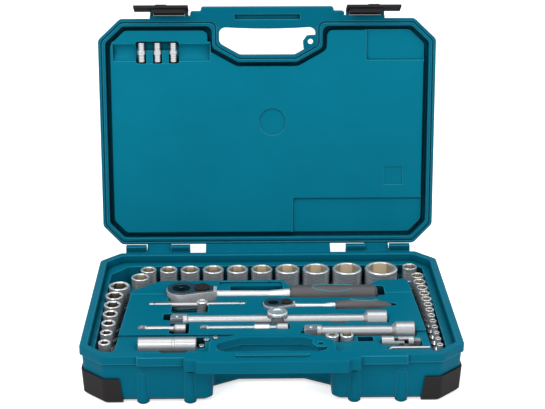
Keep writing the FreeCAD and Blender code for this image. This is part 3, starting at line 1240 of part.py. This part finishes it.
def lid_liner():
    edge = RIM_WIDTH + GROOVE_WIDTH
    top = LINER_Z + GROOVE_DEPTH + LINER_T
    raised = softened(case_prism(edge, LINER_Z, top), LINER_Z)
    raised = raised.cut(case_prism(edge + LINER_T, LINER_Z + LINER_T, top + 1))
    brim = case_prism(RIM_WIDTH + TRAY_GAP, top - LINER_T, top)
    brim = brim.cut(case_prism(edge + LINER_T, top - LINER_T - 1, top + 1))
    left, right, near, far = ADAPTER_POCKET
    deep = LID_ADAPTER_COLLAR_R + LID_ADAPTER_SINK + SEAT_GAP
    recesses = [liner_recess(*UPPER_RECESS), liner_recess(*LOWER_RECESS)]
    recesses.append(liner_recess(left, right, near, far, deep))
    trough_left, trough_right, trough_depth, trough_half, trough_deep = LINER_TROUGH
    radius = (trough_half ** 2 + trough_deep ** 2) / (2 * trough_deep)
    trough_z = LINER_Z + trough_deep - radius
    trough_y = at_depth(trough_depth)
    trough = rod(trough_left, trough_right, trough_y, trough_z, radius)
    reach = 2 * (radius + LINER_T)
    under = box(trough_left - 9, trough_right + 9, trough_y - reach, trough_y + reach, LINER_Z - 4 * reach, LINER_Z)
    cover = rod(trough_left - 1, trough_right + 1, trough_y, trough_z, radius + LINER_T).cut(under)
    liner = joined([raised, brim, cover] + [backing for hollow, backing in recesses])
    x, depth, round_r, round_deep = ROUND_RECESS
    cuts = [hollow for hollow, backing in recesses]
    cuts.append(trough)
    cuts.append(post(x, at_depth(depth), LINER_Z - 1, LINER_Z + round_deep, round_r))
    left, right, near, far, deep = MARK_RECESS
    cuts.append(box(left, right, at_depth(far), at_depth(near), LINER_Z - 1, LINER_Z + deep))
    return joined([liner.cut(cuts)] + adapter_dividers())


def adapter_dividers():
    """The two blocks between the adapters in the liner's pocket."""
    left, right, near, far = ADAPTER_POCKET
    width, length, sink = ADAPTER_DIVIDER
    deep = LID_ADAPTER_COLLAR_R + LID_ADAPTER_SINK + SEAT_GAP
    middle = (left + right) / 2
    shapes = []
    for x in (middle - LID_ADAPTER_PITCH / 2, middle + LID_ADAPTER_PITCH / 2):
        block = (at_depth(near + length), at_depth(near) + 0.5, LINER_Z + sink, LINER_Z + deep + 0.5)
        shapes.append(box(x - width / 2, x + width / 2, *block))
    return shapes


def lid_adapters():
    """Three bit adapters that lie in the liner's pocket."""
    left, right, near, far = ADAPTER_POCKET
    z = LINER_Z + LID_ADAPTER_SINK
    first = (left + right) / 2 - LID_ADAPTER_PITCH
    y = at_depth((near + far) / 2)
    half = LID_ADAPTER_LENGTH / 2
    shapes = []
    for index in range(3):
        x = first + index * LID_ADAPTER_PITCH
        parts = [Part.makeCylinder(LID_ADAPTER_R, 2 * half, V(x, y - half, z), V(0, 1, 0))]
        parts.append(Part.makeCylinder(LID_ADAPTER_COLLAR_R, 5.0, V(x, y - 2.5, z), V(0, 1, 0)))
        hole = Part.makeCylinder(BIT_FLATS / 2 - 0.6, 9.0, V(x, y - half - 1, z), V(0, 1, 0))
        shapes.append(joined(parts).cut(hole))
    return Part.Compound(shapes)


def latch_ear(x0, x1):
    """A lug on the lid's ledge that holds the latch's pin."""
    barrel = rod(x0, x1, LATCH_Y, LATCH_Z, LATCH_BARREL_R)
    return barrel.fuse(box(x0, x1, LATCH_Y, 1 - HALF_DEPTH, LATCH_Z - LATCH_BARREL_R, LATCH_Z + LATCH_BARREL_R))


def latch():
    """The right latch, made fastened and then swung open about its pin."""
    x0 = LATCH_INNER + LATCH_EAR_T + 1.0
    x1 = LATCH_EAR_OUTER - LATCH_EAR_T - 1.0
    low = LATCH_Z - LATCH_LENGTH
    barrel = rod(x0, x1, LATCH_Y, LATCH_Z, LATCH_BARREL_R)
    web = box(x0, x1, LATCH_Y - LATCH_BARREL_R, LATCH_Y, LATCH_Z - 7.0, LATCH_Z)
    plate = box(LATCH_INNER, LATCH_OUTER, LATCH_Y - LATCH_T, LATCH_Y, low, LATCH_Z - 4.5)
    hook_top = LATCH_Z - LATCH_HOOK_DROP
    hook_box = (LATCH_Y - 1, LATCH_Y + LATCH_HOOK_REACH, hook_top - LATCH_HOOK_T, hook_top)
    hook = box(LATCH_INNER + 4, LATCH_EAR_OUTER - 4, *hook_box)
    bump_x0, bump_x1 = LATCH_BUMP
    bump_y = LATCH_Y - LATCH_T - 1.4
    bump = box(LATCH_INNER + bump_x0, LATCH_INNER + bump_x1, bump_y, LATCH_Y, low + 2, LATCH_Z - 8.0)
    shape = joined([barrel, web, plate, hook, bump])
    shape = shape.cut(rod(x0 - 1, x1 + 1, LATCH_Y, LATCH_Z, LATCH_PIN_R + RUNNING_GAP))
    shape.rotate(V(0, LATCH_Y, LATCH_Z), V(1, 0, 0), -LATCH_OPEN_ANGLE)
    return shape


def opened(shape):
    """Swings a piece of the shut lid up to where the open lid rests."""
    moved = shape.copy()
    moved.rotate(V(0, HINGE_Y, HINGE_Z), V(1, 0, 0), -LID_OPEN_ANGLE)
    return moved


def lid_pieces():
    nodes["lid_shell"] = opened(lid_shell())
    nodes["lid_liner"] = opened(lid_liner())
    nodes["lid_adapters"] = opened(lid_adapters())
    right = latch()
    nodes["latch_right"] = opened(right)
    nodes["latch_left"] = opened(mirrored(right))
    pin = rod(LATCH_INNER + 0.7, LATCH_EAR_OUTER - 0.7, LATCH_Y, LATCH_Z, LATCH_PIN_R)
    nodes["latch_pins"] = opened(Part.Compound(both_sides(pin)))


def base_pieces():
    nodes["base_shell"] = base_shell()
    guard = corner_guard()
    nodes["guard_right"] = guard
    nodes["guard_left"] = mirrored(guard)
    pin = rod(KNUCKLES[0][0], KNUCKLES[1][1], HINGE_Y, HINGE_Z, HINGE_PIN_R)
    nodes["hinge_pins"] = Part.Compound(both_sides(pin))


def tools():
    right_end, left_start, corner_depth, star_end = half_sockets()
    small_end = small_sockets(right_end)
    land = socket_troughs(right_end, left_start, corner_depth, star_end, small_end)
    half_ratchet()
    small_ratchet()
    tee_bar()
    long_bar()
    short_bars()
    spark_socket()
    universal_joint()
    hex_key()
    upright_adapters()
    driver_bits()
    nodes["tool_tray"] = tool_tray(land)


tools()
base_pieces()
lid_pieces()

os.makedirs("parts", exist_ok=True)
for name, shape in nodes.items():
    shape.exportStep(os.path.join("parts", name + ".step"))
    solids = shape.Solids
    print("%-24s solids %2d  valid %s  volume %.0f" % (name, len(solids), shape.isValid(), shape.Volume))
print("nodes", len(nodes), "case", round(CASE_WIDTH, 1), "x", round(CASE_DEPTH, 1))
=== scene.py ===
"""Looks for the socket wrench set: materials, trim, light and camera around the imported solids."""
import math

import bmesh
import bpy
from mathutils import Matrix, Vector


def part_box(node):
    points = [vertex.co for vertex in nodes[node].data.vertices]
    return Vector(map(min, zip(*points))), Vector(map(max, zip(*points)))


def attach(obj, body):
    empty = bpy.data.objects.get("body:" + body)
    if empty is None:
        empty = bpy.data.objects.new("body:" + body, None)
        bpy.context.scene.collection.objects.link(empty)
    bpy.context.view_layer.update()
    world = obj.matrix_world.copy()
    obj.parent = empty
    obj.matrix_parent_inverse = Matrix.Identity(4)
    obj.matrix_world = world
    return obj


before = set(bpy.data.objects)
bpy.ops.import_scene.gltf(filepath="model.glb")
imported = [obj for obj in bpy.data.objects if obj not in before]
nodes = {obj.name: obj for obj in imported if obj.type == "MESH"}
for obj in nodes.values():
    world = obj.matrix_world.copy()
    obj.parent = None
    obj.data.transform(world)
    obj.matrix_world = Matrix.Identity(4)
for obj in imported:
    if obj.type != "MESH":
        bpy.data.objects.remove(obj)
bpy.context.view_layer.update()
scene = bpy.context.scene

# Camera, fitted to the photograph's case corners
CAMERA_AT = Vector((-0.0258, -1.4623, 0.7336))
CAMERA_YAW = 0.019453
CAMERA_PITCH = 0.361526
CAMERA_ROLL = 0.000642
FOCAL_PIXELS = 1348.0
IMAGE_WIDTH = 545.0
SENSOR = 36.0

# Colours, in linear light
# The same teal plastic in three copies: painted lighter on the lid liner and painted darker on the tray and
# the case, as lit and shaded copies
LINER_TEAL = (0.0015, 0.163, 0.246)
TRAY_TEAL = (0.0010, 0.122, 0.187)
CASE_TEAL = (0.0006, 0.118, 0.186)
# Painted highlight for the teal plastic's outer edges
TEAL_HIGHLIGHT = (0.055, 0.370, 0.480)
# Painted shade for the teal plastic's gaps
TEAL_SHADOW = (0.0004, 0.010, 0.018)
TEAL_TRIM = (0.05, 0.36, 0.42)
BLACK_PLASTIC = (0.024, 0.022, 0.023)
GRIP_BLACK = (0.066, 0.060, 0.063)
CHROME = (0.38, 0.39, 0.40)
SOCKET_CHROME = (0.60, 0.61, 0.62)
CHROME_DARK = (0.16, 0.175, 0.20)
# Bare steel inside the sockets, as its painted lit copy; the painted shaded copies are fractions of it
BROWN_STEEL = (0.86, 0.70, 0.48)
PLAIN_STEEL = (0.42, 0.42, 0.42)
FLOOR_WHITE = (0.92, 0.92, 0.92)
ROOM_WHITE = (0.97, 0.985, 1.0)
PURE_WHITE = (1.0, 1.0, 1.0)

# Sizes of the finishes, in metres: softened edges, which also carry the painted edge highlights, and how far
# painted shade reaches out of a gap
CASE_EDGE = 0.0016
TRAY_EDGE = 0.0016
LINER_EDGE = 0.0014
BLACK_EDGE = 0.0008
TRIM_EDGE = 0.0004
RUBBER_EDGE = 0.0006
METAL_EDGE = 0.0005
GAP_SHADE = 0.012
TRAY_SHADE = 0.024
SOCKET_SHADE = 0.020

# Texture scales of each surface's tone, sheen and grain
PLASTIC_TONE = 9.0
PLASTIC_SHEEN = 160.0
PLASTIC_GRAIN = 1500.0
WALL_SHEEN = 700.0
RUBBER_GRAIN = 900.0
RUBBER_TONE = 30.0
PAPER_TONE = 3.0
# Grinding lines along a bar and around a socket, as texture scales along each axis
ALONG_X = (25.0, 2600.0, 2600.0)
ROUND_Z = (25.0, 25.0, 1100.0)

# Oval lines in the grips: distance from the grip's left end, half length, half width, lean, line radius
HALF_GRIP_OVAL = (0.052, 0.0255, 0.0075, -0.22, 0.0004)
SMALL_GRIP_OVAL = (0.034, 0.0165, 0.0050, 0.25, 0.0004)
OVAL_STEPS = 72

# What counts as a flat face, a join between two tray sections and a socket's upright wall
FLAT_NORMAL = 0.999
SEAM_AREA = 2e-5
SEAM_MATCH = 1.05
SEAM_MARGIN = 1.2
UPRIGHT = 0.5

# Lamps: place, target, size, power
KEY_LIGHT = ((-0.9, -1.3, 1.9), (0.0, 0.0, 0.1), (1.4, 1.4), 34.0)
FILL_LIGHT = ((1.3, -0.9, 1.3), (0.0, 0.05, 0.1), (1.2, 1.2), 12.0)
TOP_LIGHT = ((0.0, 0.2, 2.2), (0.0, 0.05, 0.0), (1.8, 1.4), 16.0)
ROOM_LIGHT = 0.42
FLOOR_GLOW = 0.66
FLOOR_HALF = 9.0
FLOOR_DROP = 0.0004


# Material helpers


class Shader:
    """A material's node tree, with short ways to add what the finishes share."""

    def __init__(self, name):
        self.material = bpy.data.materials.new(name)
        self.material.use_nodes = True
        self.tree = self.material.node_tree
        self.surface = self.tree.nodes["Principled BSDF"]
        self.place = self.tree.nodes.new("ShaderNodeTexCoord").outputs["Object"]

    def set(self, **values):
        """Sets constants on the surface's own sockets."""
        for key, value in values.items():
            socket = self.surface.inputs[key.replace("_", " ").title().replace("Ior", "IOR")]
            socket.default_value = (*value, 1.0) if isinstance(value, tuple) else value

    def link(self, output, target):
        self.tree.links.new(output, target)

    def stretched(self, scale):
        """The object's coordinates, scaled along each axis."""
        mapping = self.tree.nodes.new("ShaderNodeMapping")
        mapping.inputs["Scale"].default_value = scale
        self.link(self.place, mapping.inputs["Vector"])
        return mapping.outputs["Vector"]

    def noise(self, scale, detail=2.0, rough=0.5, vector=None):
        texture = self.tree.nodes.new("ShaderNodeTexNoise")
        texture.inputs["Scale"].default_value = scale
        texture.inputs["Detail"].default_value = detail
        texture.inputs["Roughness"].default_value = rough
        self.link(vector if vector is not None else self.place, texture.inputs["Vector"])
        return texture.outputs["Fac"]

    def spread(self, value, low, high, start=0.3, end=0.7):
        """Maps a texture's middle range to the given limits."""
        ranger = self.tree.nodes.new("ShaderNodeMapRange")
        ranger.inputs["From Min"].default_value = start
        ranger.inputs["From Max"].default_value = end
        ranger.inputs["To Min"].default_value = low
        ranger.inputs["To Max"].default_value = high
        self.link(value, ranger.inputs["Value"])
        return ranger.outputs["Result"]

    def tint(self, value, low, high):
        """Blends two colours by a texture."""
        mix = self.tree.nodes.new("ShaderNodeMix")
        mix.data_type = "RGBA"
        mix.inputs[6].default_value = (*low, 1.0)
        mix.inputs[7].default_value = (*high, 1.0)
        self.link(value, mix.inputs[0])
        return mix.outputs[2]

    def mixed(self, value, low, high):
        """Blends a socket's colour towards a constant one."""
        mix = self.tree.nodes.new("ShaderNodeMix")
        mix.data_type = "RGBA"
        self.link(low, mix.inputs[6])
        mix.inputs[7].default_value = (*high, 1.0)
        self.link(value, mix.inputs[0])
        return mix.outputs[2]

    def math(self, operation, first, second):
        node = self.tree.nodes.new("ShaderNodeMath")
        node.operation = operation
        for value, socket in ((first, node.inputs[0]), (second, node.inputs[1])):
            if isinstance(value, float):
                socket.default_value = value
            else:
                self.link(value, socket)
        return node.outputs[0]

    def openness(self, distance, samples):
        """How much of the sky over a point is clear within a distance."""
        sky = self.tree.nodes.new("ShaderNodeAmbientOcclusion")
        sky.samples = samples
        sky.inputs["Distance"].default_value = distance
        return sky.outputs["AO"]

    def soft_normal(self, radius, seams):
        """The normal with its edges softened, but plain beside the flat joins between sections."""
        soft = self.tree.nodes.new("ShaderNodeBevel")
        soft.samples = 6
        soft.inputs["Radius"].default_value = radius
        if not seams:
            return soft.outputs["Normal"]
        split = self.tree.nodes.new("ShaderNodeSeparateXYZ")
        self.link(self.place, split.inputs[0])
        nearest = None
        for axis, value in seams:
            gap = self.math("ABSOLUTE", self.math("SUBTRACT", split.outputs[axis], value), 0.0)
            nearest = gap if nearest is None else self.math("MINIMUM", nearest, gap)
        away = self.math("GREATER_THAN", nearest, SEAM_MARGIN * radius)
        face = self.tree.nodes.new("ShaderNodeNewGeometry")
        mix = self.tree.nodes.new("ShaderNodeMix")
        mix.data_type = "VECTOR"
        self.link(away, mix.inputs[0])
        self.link(face.outputs["Normal"], mix.inputs[4])
        self.link(soft.outputs["Normal"], mix.inputs[5])
        return mix.outputs[1]

    def highlight_mask(self, soft, radius):
        """Where the painted edge highlight goes: near 1 on outer edges, where the softened normal leaves the
        face's own and nothing crowds it.
        """
        face = self.tree.nodes.new("ShaderNodeNewGeometry")
        turn = self.tree.nodes.new("ShaderNodeVectorMath")
        turn.operation = "DOT_PRODUCT"
        self.link(soft, turn.inputs[0])
        self.link(face.outputs["Normal"], turn.inputs[1])
        edge = self.spread(turn.outputs["Value"], 1.0, 0.0, 0.78, 0.99)
        clear = self.spread(self.openness(3.0 * radius, 4), 0.0, 1.0, 0.6, 0.9)
        return self.math("MULTIPLY", edge, clear)

    def colour(self, output):
        self.link(output, self.surface.inputs["Base Color"])

    def rough(self, output):
        self.link(output, self.surface.inputs["Roughness"])

    def bump(self, heights, strength, depth, soft):
        """Adds relief from a texture, over softened edges."""
        relief = self.tree.nodes.new("ShaderNodeBump")
        relief.inputs["Strength"].default_value = strength
        relief.inputs["Distance"].default_value = depth
        self.link(heights, relief.inputs["Height"])
        self.link(soft, relief.inputs["Normal"])
        self.link(relief.outputs["Normal"], self.surface.inputs["Normal"])


def shade(colour, factor):
    return tuple(channel * factor for channel in colour)


def moulded_plastic(name, colour, highlight_colour, shadow, edge, reach=GAP_SHADE, seams=()):
    """Moulded plastic with a fine satin grain, painted shade deep in its gaps and a painted highlight on its
    softened outer edges.
    """
    shader = Shader(name)
    flow = shader.spread(shader.noise(PLASTIC_TONE, 3.0, 0.6), 0.0, 1.0)
    body = shader.tint(flow, shade(colour, 0.95), shade(colour, 1.05))
    # Painted shade: the colour darkens to the shadow colour where little open sky is near
    body = shader.mixed(shader.spread(shader.openness(reach, 6), 1.0, 0.0, 0.22, 0.72), body, shadow)
    soft = shader.soft_normal(edge, seams)
    # Painted highlight: the colour turns paler on the outer edges
    shader.colour(shader.mixed(shader.highlight_mask(soft, edge), body, highlight_colour))
    shader.rough(shader.spread(shader.noise(PLASTIC_SHEEN, 3.0), 0.38, 0.46))
    shader.set(specular_ior_level=0.03)
    shader.bump(shader.noise(PLASTIC_GRAIN, 2.0), 0.08, 0.0002, soft)
    return shader.material


def satin_chrome(name, colour, low, high, brushed, metal=1.0):
    """Chrome plating over ground steel, with fine grinding lines and painted shade deep in its pocket."""
    shader = Shader(name)
    lines = shader.noise(1.0, 2.0, 0.6, shader.stretched(brushed))
    plate = shader.tint(lines, shade(colour, 0.95), shade(colour, 1.05))
    # Painted shade: the plating darkens towards 0.42 of its colour where little open sky is near
    painted_shade = shader.spread(shader.openness(GAP_SHADE, 8), 1.0, 0.0, 0.05, 0.60)
    shader.colour(shader.mixed(painted_shade, plate, shade(colour, 0.42)))
    shader.rough(shader.spread(lines, low, high))
    shader.set(metallic=metal)
    shader.bump(lines, 0.02, 0.0001, shader.soft_normal(METAL_EDGE, ()))
    return shader.material


def bare_socket_wall(name, shaded, light):
    """A socket's unplated inner wall, with painted light on the flats that look to the front and painted
    shade further down.
    """
    shader = Shader(name)
    facing = shader.tree.nodes.new("ShaderNodeSeparateXYZ")
    shader.link(shader.tree.nodes["Texture Coordinate"].outputs["Normal"], facing.inputs[0])
    # Painted light: the flats that face the front are lit, and the ones turned aside are shaded
    lit_flats = shader.tint(shader.spread(facing.outputs["Y"], 1.0, 0.0, -0.98, -0.30), shaded, light)
    # Painted shade, darker further down the socket
    painted_shade = shader.spread(shader.openness(SOCKET_SHADE, 8), 1.0, 0.0, 0.10, 0.55)
    shader.colour(shader.mixed(painted_shade, lit_flats, shade(shaded, 0.6)))
    shader.rough(shader.spread(shader.noise(WALL_SHEEN, 2.0), 0.26, 0.38))
    shader.set(metallic=0.3)
    return shader.material


def rubber(name, colour, rough_low, rough_high):
    """Soft black rubber with a leathery grain."""
    shader = Shader(name)
    grain = shader.noise(RUBBER_GRAIN, 3.0, 0.6)
    shader.colour(shader.tint(shader.noise(RUBBER_TONE, 2.0), shade(colour, 0.8), shade(colour, 1.2)))
    shader.rough(shader.spread(grain, rough_low, rough_high))
    shader.set(specular_ior_level=0.4)
    shader.bump(grain, 0.18, 0.0002, shader.soft_normal(RUBBER_EDGE, ()))
    return shader.material


def islands(mesh):
    """Groups of a mesh's faces that share vertices at the same place, one group for each solid."""
    owner = {}
    parent = list(range(len(mesh.polygons)))

    def root(index):
        while parent[index] != index:
            parent[index] = parent[parent[index]]
            index = parent[index]
        return index

    for polygon in mesh.polygons:
        for vertex in polygon.vertices:
            key = tuple(round(value, 6) for value in mesh.vertices[vertex].co)
            if key in owner:
                parent[root(polygon.index)] = root(owner[key])
            else:
                owner[key] = polygon.index
    groups = {}
    for polygon in mesh.polygons:
        groups.setdefault(root(polygon.index), []).append(polygon)
    return list(groups.values())


def tray_seams():
    """The flat planes where the tray's sections meet, as an axis and a place on it."""
    areas = {}
    for polygon in nodes["tool_tray"].data.polygons:
        for axis in (0, 1):
            if abs(polygon.normal[axis]) > FLAT_NORMAL:
                key = (axis, round(polygon.center[axis], 4))
                pair = areas.setdefault(key, [0.0, 0.0])
                pair[0 if polygon.normal[axis] > 0 else 1] += polygon.area
    return sorted(
        key for key, pair in areas.items() if min(pair) > SEAM_AREA and max(pair) < SEAM_MATCH * min(pair)
    )


finishes = {
    "case": moulded_plastic("case_plastic", CASE_TEAL, TEAL_HIGHLIGHT, TEAL_SHADOW, CASE_EDGE),
    "tray": moulded_plastic(
        "tray_plastic", TRAY_TEAL, TEAL_HIGHLIGHT, TEAL_SHADOW, TRAY_EDGE, TRAY_SHADE, tray_seams(),
    ),
    "liner": moulded_plastic("liner_plastic", LINER_TEAL, TEAL_HIGHLIGHT, TEAL_SHADOW, LINER_EDGE),
    # Black plastic: a painted highlight at three times its colour on its edges, and painted shade at a fifth
    # of it in its gaps
    "black": moulded_plastic(
        "black_plastic", BLACK_PLASTIC, shade(BLACK_PLASTIC, 3.0), shade(BLACK_PLASTIC, 0.2), BLACK_EDGE,
    ),
    "grip": rubber("grip_rubber", GRIP_BLACK, 0.42, 0.56),
    "insert": rubber("insert_rubber", shade(GRIP_BLACK, 0.6), 0.6, 0.75),
    "bar": satin_chrome("bar_chrome", CHROME, 0.24, 0.30, ALONG_X, 0.60),
    "forged": satin_chrome("forged_chrome", SOCKET_CHROME, 0.24, 0.32, ALONG_X, 0.45),
    "socket": satin_chrome("socket_chrome", SOCKET_CHROME, 0.20, 0.34, ROUND_Z, 0.68),
    # Socket inner walls as lit and shaded copies of the bare steel; the star sockets get darker copies still
    "inside": bare_socket_wall("socket_inside", shade(BROWN_STEEL, 0.22), BROWN_STEEL),
    "star_inside": bare_socket_wall("star_inside", shade(BROWN_STEEL, 0.06), shade(BROWN_STEEL, 0.30)),
    "cover": satin_chrome("cover_plate", CHROME_DARK, 0.30, 0.42, ALONG_X),
    "steel": satin_chrome("plain_steel", PLAIN_STEEL, 0.30, 0.45, ROUND_Z),
    "gunmetal": satin_chrome("gear_disc", shade(CHROME_DARK, 0.16), 0.22, 0.34, ROUND_Z),
}


def dress(name, finish):
    mesh = nodes[name].data
    mesh.materials.clear()
    mesh.materials.append(finishes[finish])


SOCKET_STARTS = ("half_socket_", "star_socket_", "corner_socket", "small_sockets_")
SOCKETS = sorted(name for name in nodes if name.startswith(SOCKET_STARTS))
FINISH_OF = {
    "case": ["base_shell", "lid_shell"],
    "tray": ["tool_tray"],
    "liner": ["lid_liner"],
    "black": [
        "guard_left", "guard_right", "latch_left", "latch_right",
        "half_ratchet_selector", "small_ratchet_selector",
    ],
    "grip": ["half_ratchet_grip", "small_ratchet_grip"],
    "insert": ["spark_socket_insert"],
    "forged": ["half_ratchet_body", "small_ratchet_body"],
    "bar": [
        "tee_bar_rod", "long_extension", "short_extension", "small_extension", "small_long_extension",
        "spark_socket", "joint_socket_yoke", "joint_drive_yoke", "hex_key",
    ],
    "socket": [
        "tee_bar_slider", "long_tee_head", "spinner_sleeve", "bit_adapter", "drive_adapter", "lid_adapters",
    ],
    "cover": ["half_ratchet_cover", "small_ratchet_cover"],
    "steel": ["hinge_pins", "latch_pins", "joint_cross", "half_ratchet_pawl", "driver_bits"],
    "gunmetal": ["half_ratchet_drive", "half_ratchet_button", "small_ratchet_drive"],
}
for finish, names in FINISH_OF.items():
    for name in names:
        dress(name, finish)
for name in SOCKETS:
    dress(name, "socket")


def colour_insides(name):
    """Gives a socket's inner walls their own finish: bare steel with painted light and painted shade."""
    mesh = nodes[name].data
    mesh.materials.append(finishes["star_inside" if name.startswith("star") else "inside"])
    for group in islands(mesh):
        centres = [polygon.center for polygon in group]
        low_x = min(centre.x for centre in centres)
        high_x = max(centre.x for centre in centres)
        low_y = min(centre.y for centre in centres)
        high_y = max(centre.y for centre in centres)
        axis = Vector(((low_x + high_x) / 2, (low_y + high_y) / 2, 0.0))
        for polygon in group:
            out = polygon.center - axis
            out.z = 0.0
            facing = polygon.normal.x * out.x + polygon.normal.y * out.y
            if facing < -1e-6 and abs(polygon.normal.z) < UPRIGHT:
                polygon.material_index = 1


for name in SOCKETS + ["bit_adapter", "drive_adapter"]:
    colour_insides(name)


# Grips' trim


def oval_ring(name, node, body, oval):
    """A plain oval line inlaid in a grip that lies along X, leaning to one side."""
    start, half_length, half_width, lean, depth = oval
    low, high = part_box(node)
    centre = low.x + start
    axis_y = (low.y + high.y) / 2
    axis_z = (low.z + high.z) / 2
    vertices = [vertex.co for vertex in nodes[node].data.vertices]
    rings = sorted({round(vertex.x, 5) for vertex in vertices})
    profile = []
    for x in rings:
        reach = max(math.hypot(v.y - axis_y, v.z - axis_z) for v in vertices if abs(v.x - x) < 2e-5)
        profile.append((x, reach))

    def radius_at(x):
        for (x0, r0), (x1, r1) in zip(profile, profile[1:]):
            if x0 <= x <= x1:
                return r0 + (r1 - r0) * (x - x0) / max(x1 - x0, 1e-9)
        return profile[-1][1]

    data = bpy.data.curves.new(name, "CURVE")
    data.dimensions = "3D"
    data.bevel_depth = depth
    data.bevel_resolution = 3
    spline = data.splines.new("POLY")
    spline.points.add(OVAL_STEPS - 1)
    spline.use_cyclic_u = True
    for index, point in enumerate(spline.points):
        turn = 2 * math.pi * index / OVAL_STEPS
        x = centre + half_length * math.cos(turn)
        radius = radius_at(x)
        angle = lean + half_width * math.sin(turn) / radius
        point.co = (x, axis_y + radius * math.sin(angle), axis_z + radius * math.cos(angle), 1.0)
    ring = bpy.data.objects.new(name, data)
    scene.collection.objects.link(ring)
    data.materials.append(trim)
    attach(ring, body)


# The trim gets painted shade at half its colour in its gaps, and no paler edges
trim = moulded_plastic("teal_trim", TEAL_TRIM, TEAL_TRIM, shade(TEAL_TRIM, 0.5), TRIM_EDGE)
oval_ring("half_grip_ring", "half_ratchet_grip", "half_ratchet", HALF_GRIP_OVAL)
oval_ring("small_grip_ring", "small_ratchet_grip", "small_ratchet", SMALL_GRIP_OVAL)


# Light, floor and camera


def studio_world():
    """A soft white room: plain light on the object, and white where the camera or a reflection looks."""
    world = bpy.data.worlds.new("studio")
    scene.world = world
    world.use_nodes = True
    tree = world.node_tree
    light = tree.nodes["Background"]
    light.inputs["Color"].default_value = (*ROOM_WHITE, 1.0)
    light.inputs["Strength"].default_value = ROOM_LIGHT
    white = tree.nodes.new("ShaderNodeBackground")
    white.inputs["Color"].default_value = (*PURE_WHITE, 1.0)
    white.inputs["Strength"].default_value = 1.0
    path = tree.nodes.new("ShaderNodeLightPath")
    seen = tree.nodes.new("ShaderNodeMath")
    seen.operation = "MAXIMUM"
    shown = tree.nodes.new("ShaderNodeMath")
    shown.operation = "MAXIMUM"
    tree.links.new(path.outputs["Is Camera Ray"], seen.inputs[0])
    tree.links.new(path.outputs["Is Glossy Ray"], seen.inputs[1])
    tree.links.new(seen.outputs[0], shown.inputs[0])
    tree.links.new(path.outputs["Is Transmission Ray"], shown.inputs[1])
    mix = tree.nodes.new("ShaderNodeMixShader")
    tree.links.new(shown.outputs[0], mix.inputs[0])
    tree.links.new(light.outputs[0], mix.inputs[1])
    tree.links.new(white.outputs[0], mix.inputs[2])
    tree.links.new(mix.outputs[0], tree.nodes["World Output"].inputs["Surface"])


def softbox(name, place, target, size, power):
    data = bpy.data.lights.new(name, "AREA")
    data.shape = "RECTANGLE"
    data.size, data.size_y = size
    data.energy = power
    lamp = bpy.data.objects.new(name, data)
    lamp.location = place
    lamp.rotation_euler = (Vector(target) - Vector(place)).to_track_quat("-Z", "Y").to_euler()
    scene.collection.objects.link(lamp)


def pale_floor():
    mesh = bpy.data.meshes.new("floor")
    builder = bmesh.new()
    bmesh.ops.create_grid(builder, x_segments=1, y_segments=1, size=FLOOR_HALF)
    builder.to_mesh(mesh)
    builder.free()
    floor = bpy.data.objects.new("floor", mesh)
    floor.location = (0.0, 0.0, -FLOOR_DROP)
    scene.collection.objects.link(floor)
    shader = Shader("floor_paper")
    shader.colour(shader.tint(shader.noise(PAPER_TONE), shade(FLOOR_WHITE, 0.995), shade(FLOOR_WHITE, 1.005)))
    shader.set(roughness=0.9, specular_ior_level=0.1, emission_color=PURE_WHITE)
    path = shader.tree.nodes.new("ShaderNodeLightPath")
    seen = shader.math("MAXIMUM", path.outputs["Is Camera Ray"], path.outputs["Is Glossy Ray"])
    seen = shader.math("MAXIMUM", seen, path.outputs["Is Transmission Ray"])
    shader.link(shader.math("MULTIPLY", seen, FLOOR_GLOW), shader.surface.inputs["Emission Strength"])
    mesh.materials.append(shader.material)


def fitted_camera():
    data = bpy.data.cameras.new("camera")
    data.sensor_fit = "HORIZONTAL"
    data.sensor_width = SENSOR
    data.lens = SENSOR * FOCAL_PIXELS / IMAGE_WIDTH
    data.clip_end = 50.0
    camera = bpy.data.objects.new("camera", data)
    level = math.cos(CAMERA_PITCH)
    forward = Vector((math.sin(CAMERA_YAW) * level, math.cos(CAMERA_YAW) * level, -math.sin(CAMERA_PITCH)))
    right = Vector((math.cos(CAMERA_YAW), -math.sin(CAMERA_YAW), 0.0))
    up = right.cross(forward)
    tilted_right = right * math.cos(CAMERA_ROLL) + up * math.sin(CAMERA_ROLL)
    tilted_up = up * math.cos(CAMERA_ROLL) - right * math.sin(CAMERA_ROLL)
    turn = Matrix((tilted_right, tilted_up, -forward)).transposed().to_4x4()
    camera.matrix_world = Matrix.Translation(CAMERA_AT) @ turn
    scene.collection.objects.link(camera)
    scene.camera = camera


studio_world()
softbox("key_light", *KEY_LIGHT)
softbox("fill_light", *FILL_LIGHT)
softbox("top_light", *TOP_LIGHT)
pale_floor()
fitted_camera()
scene.view_settings.view_transform = "Standard"
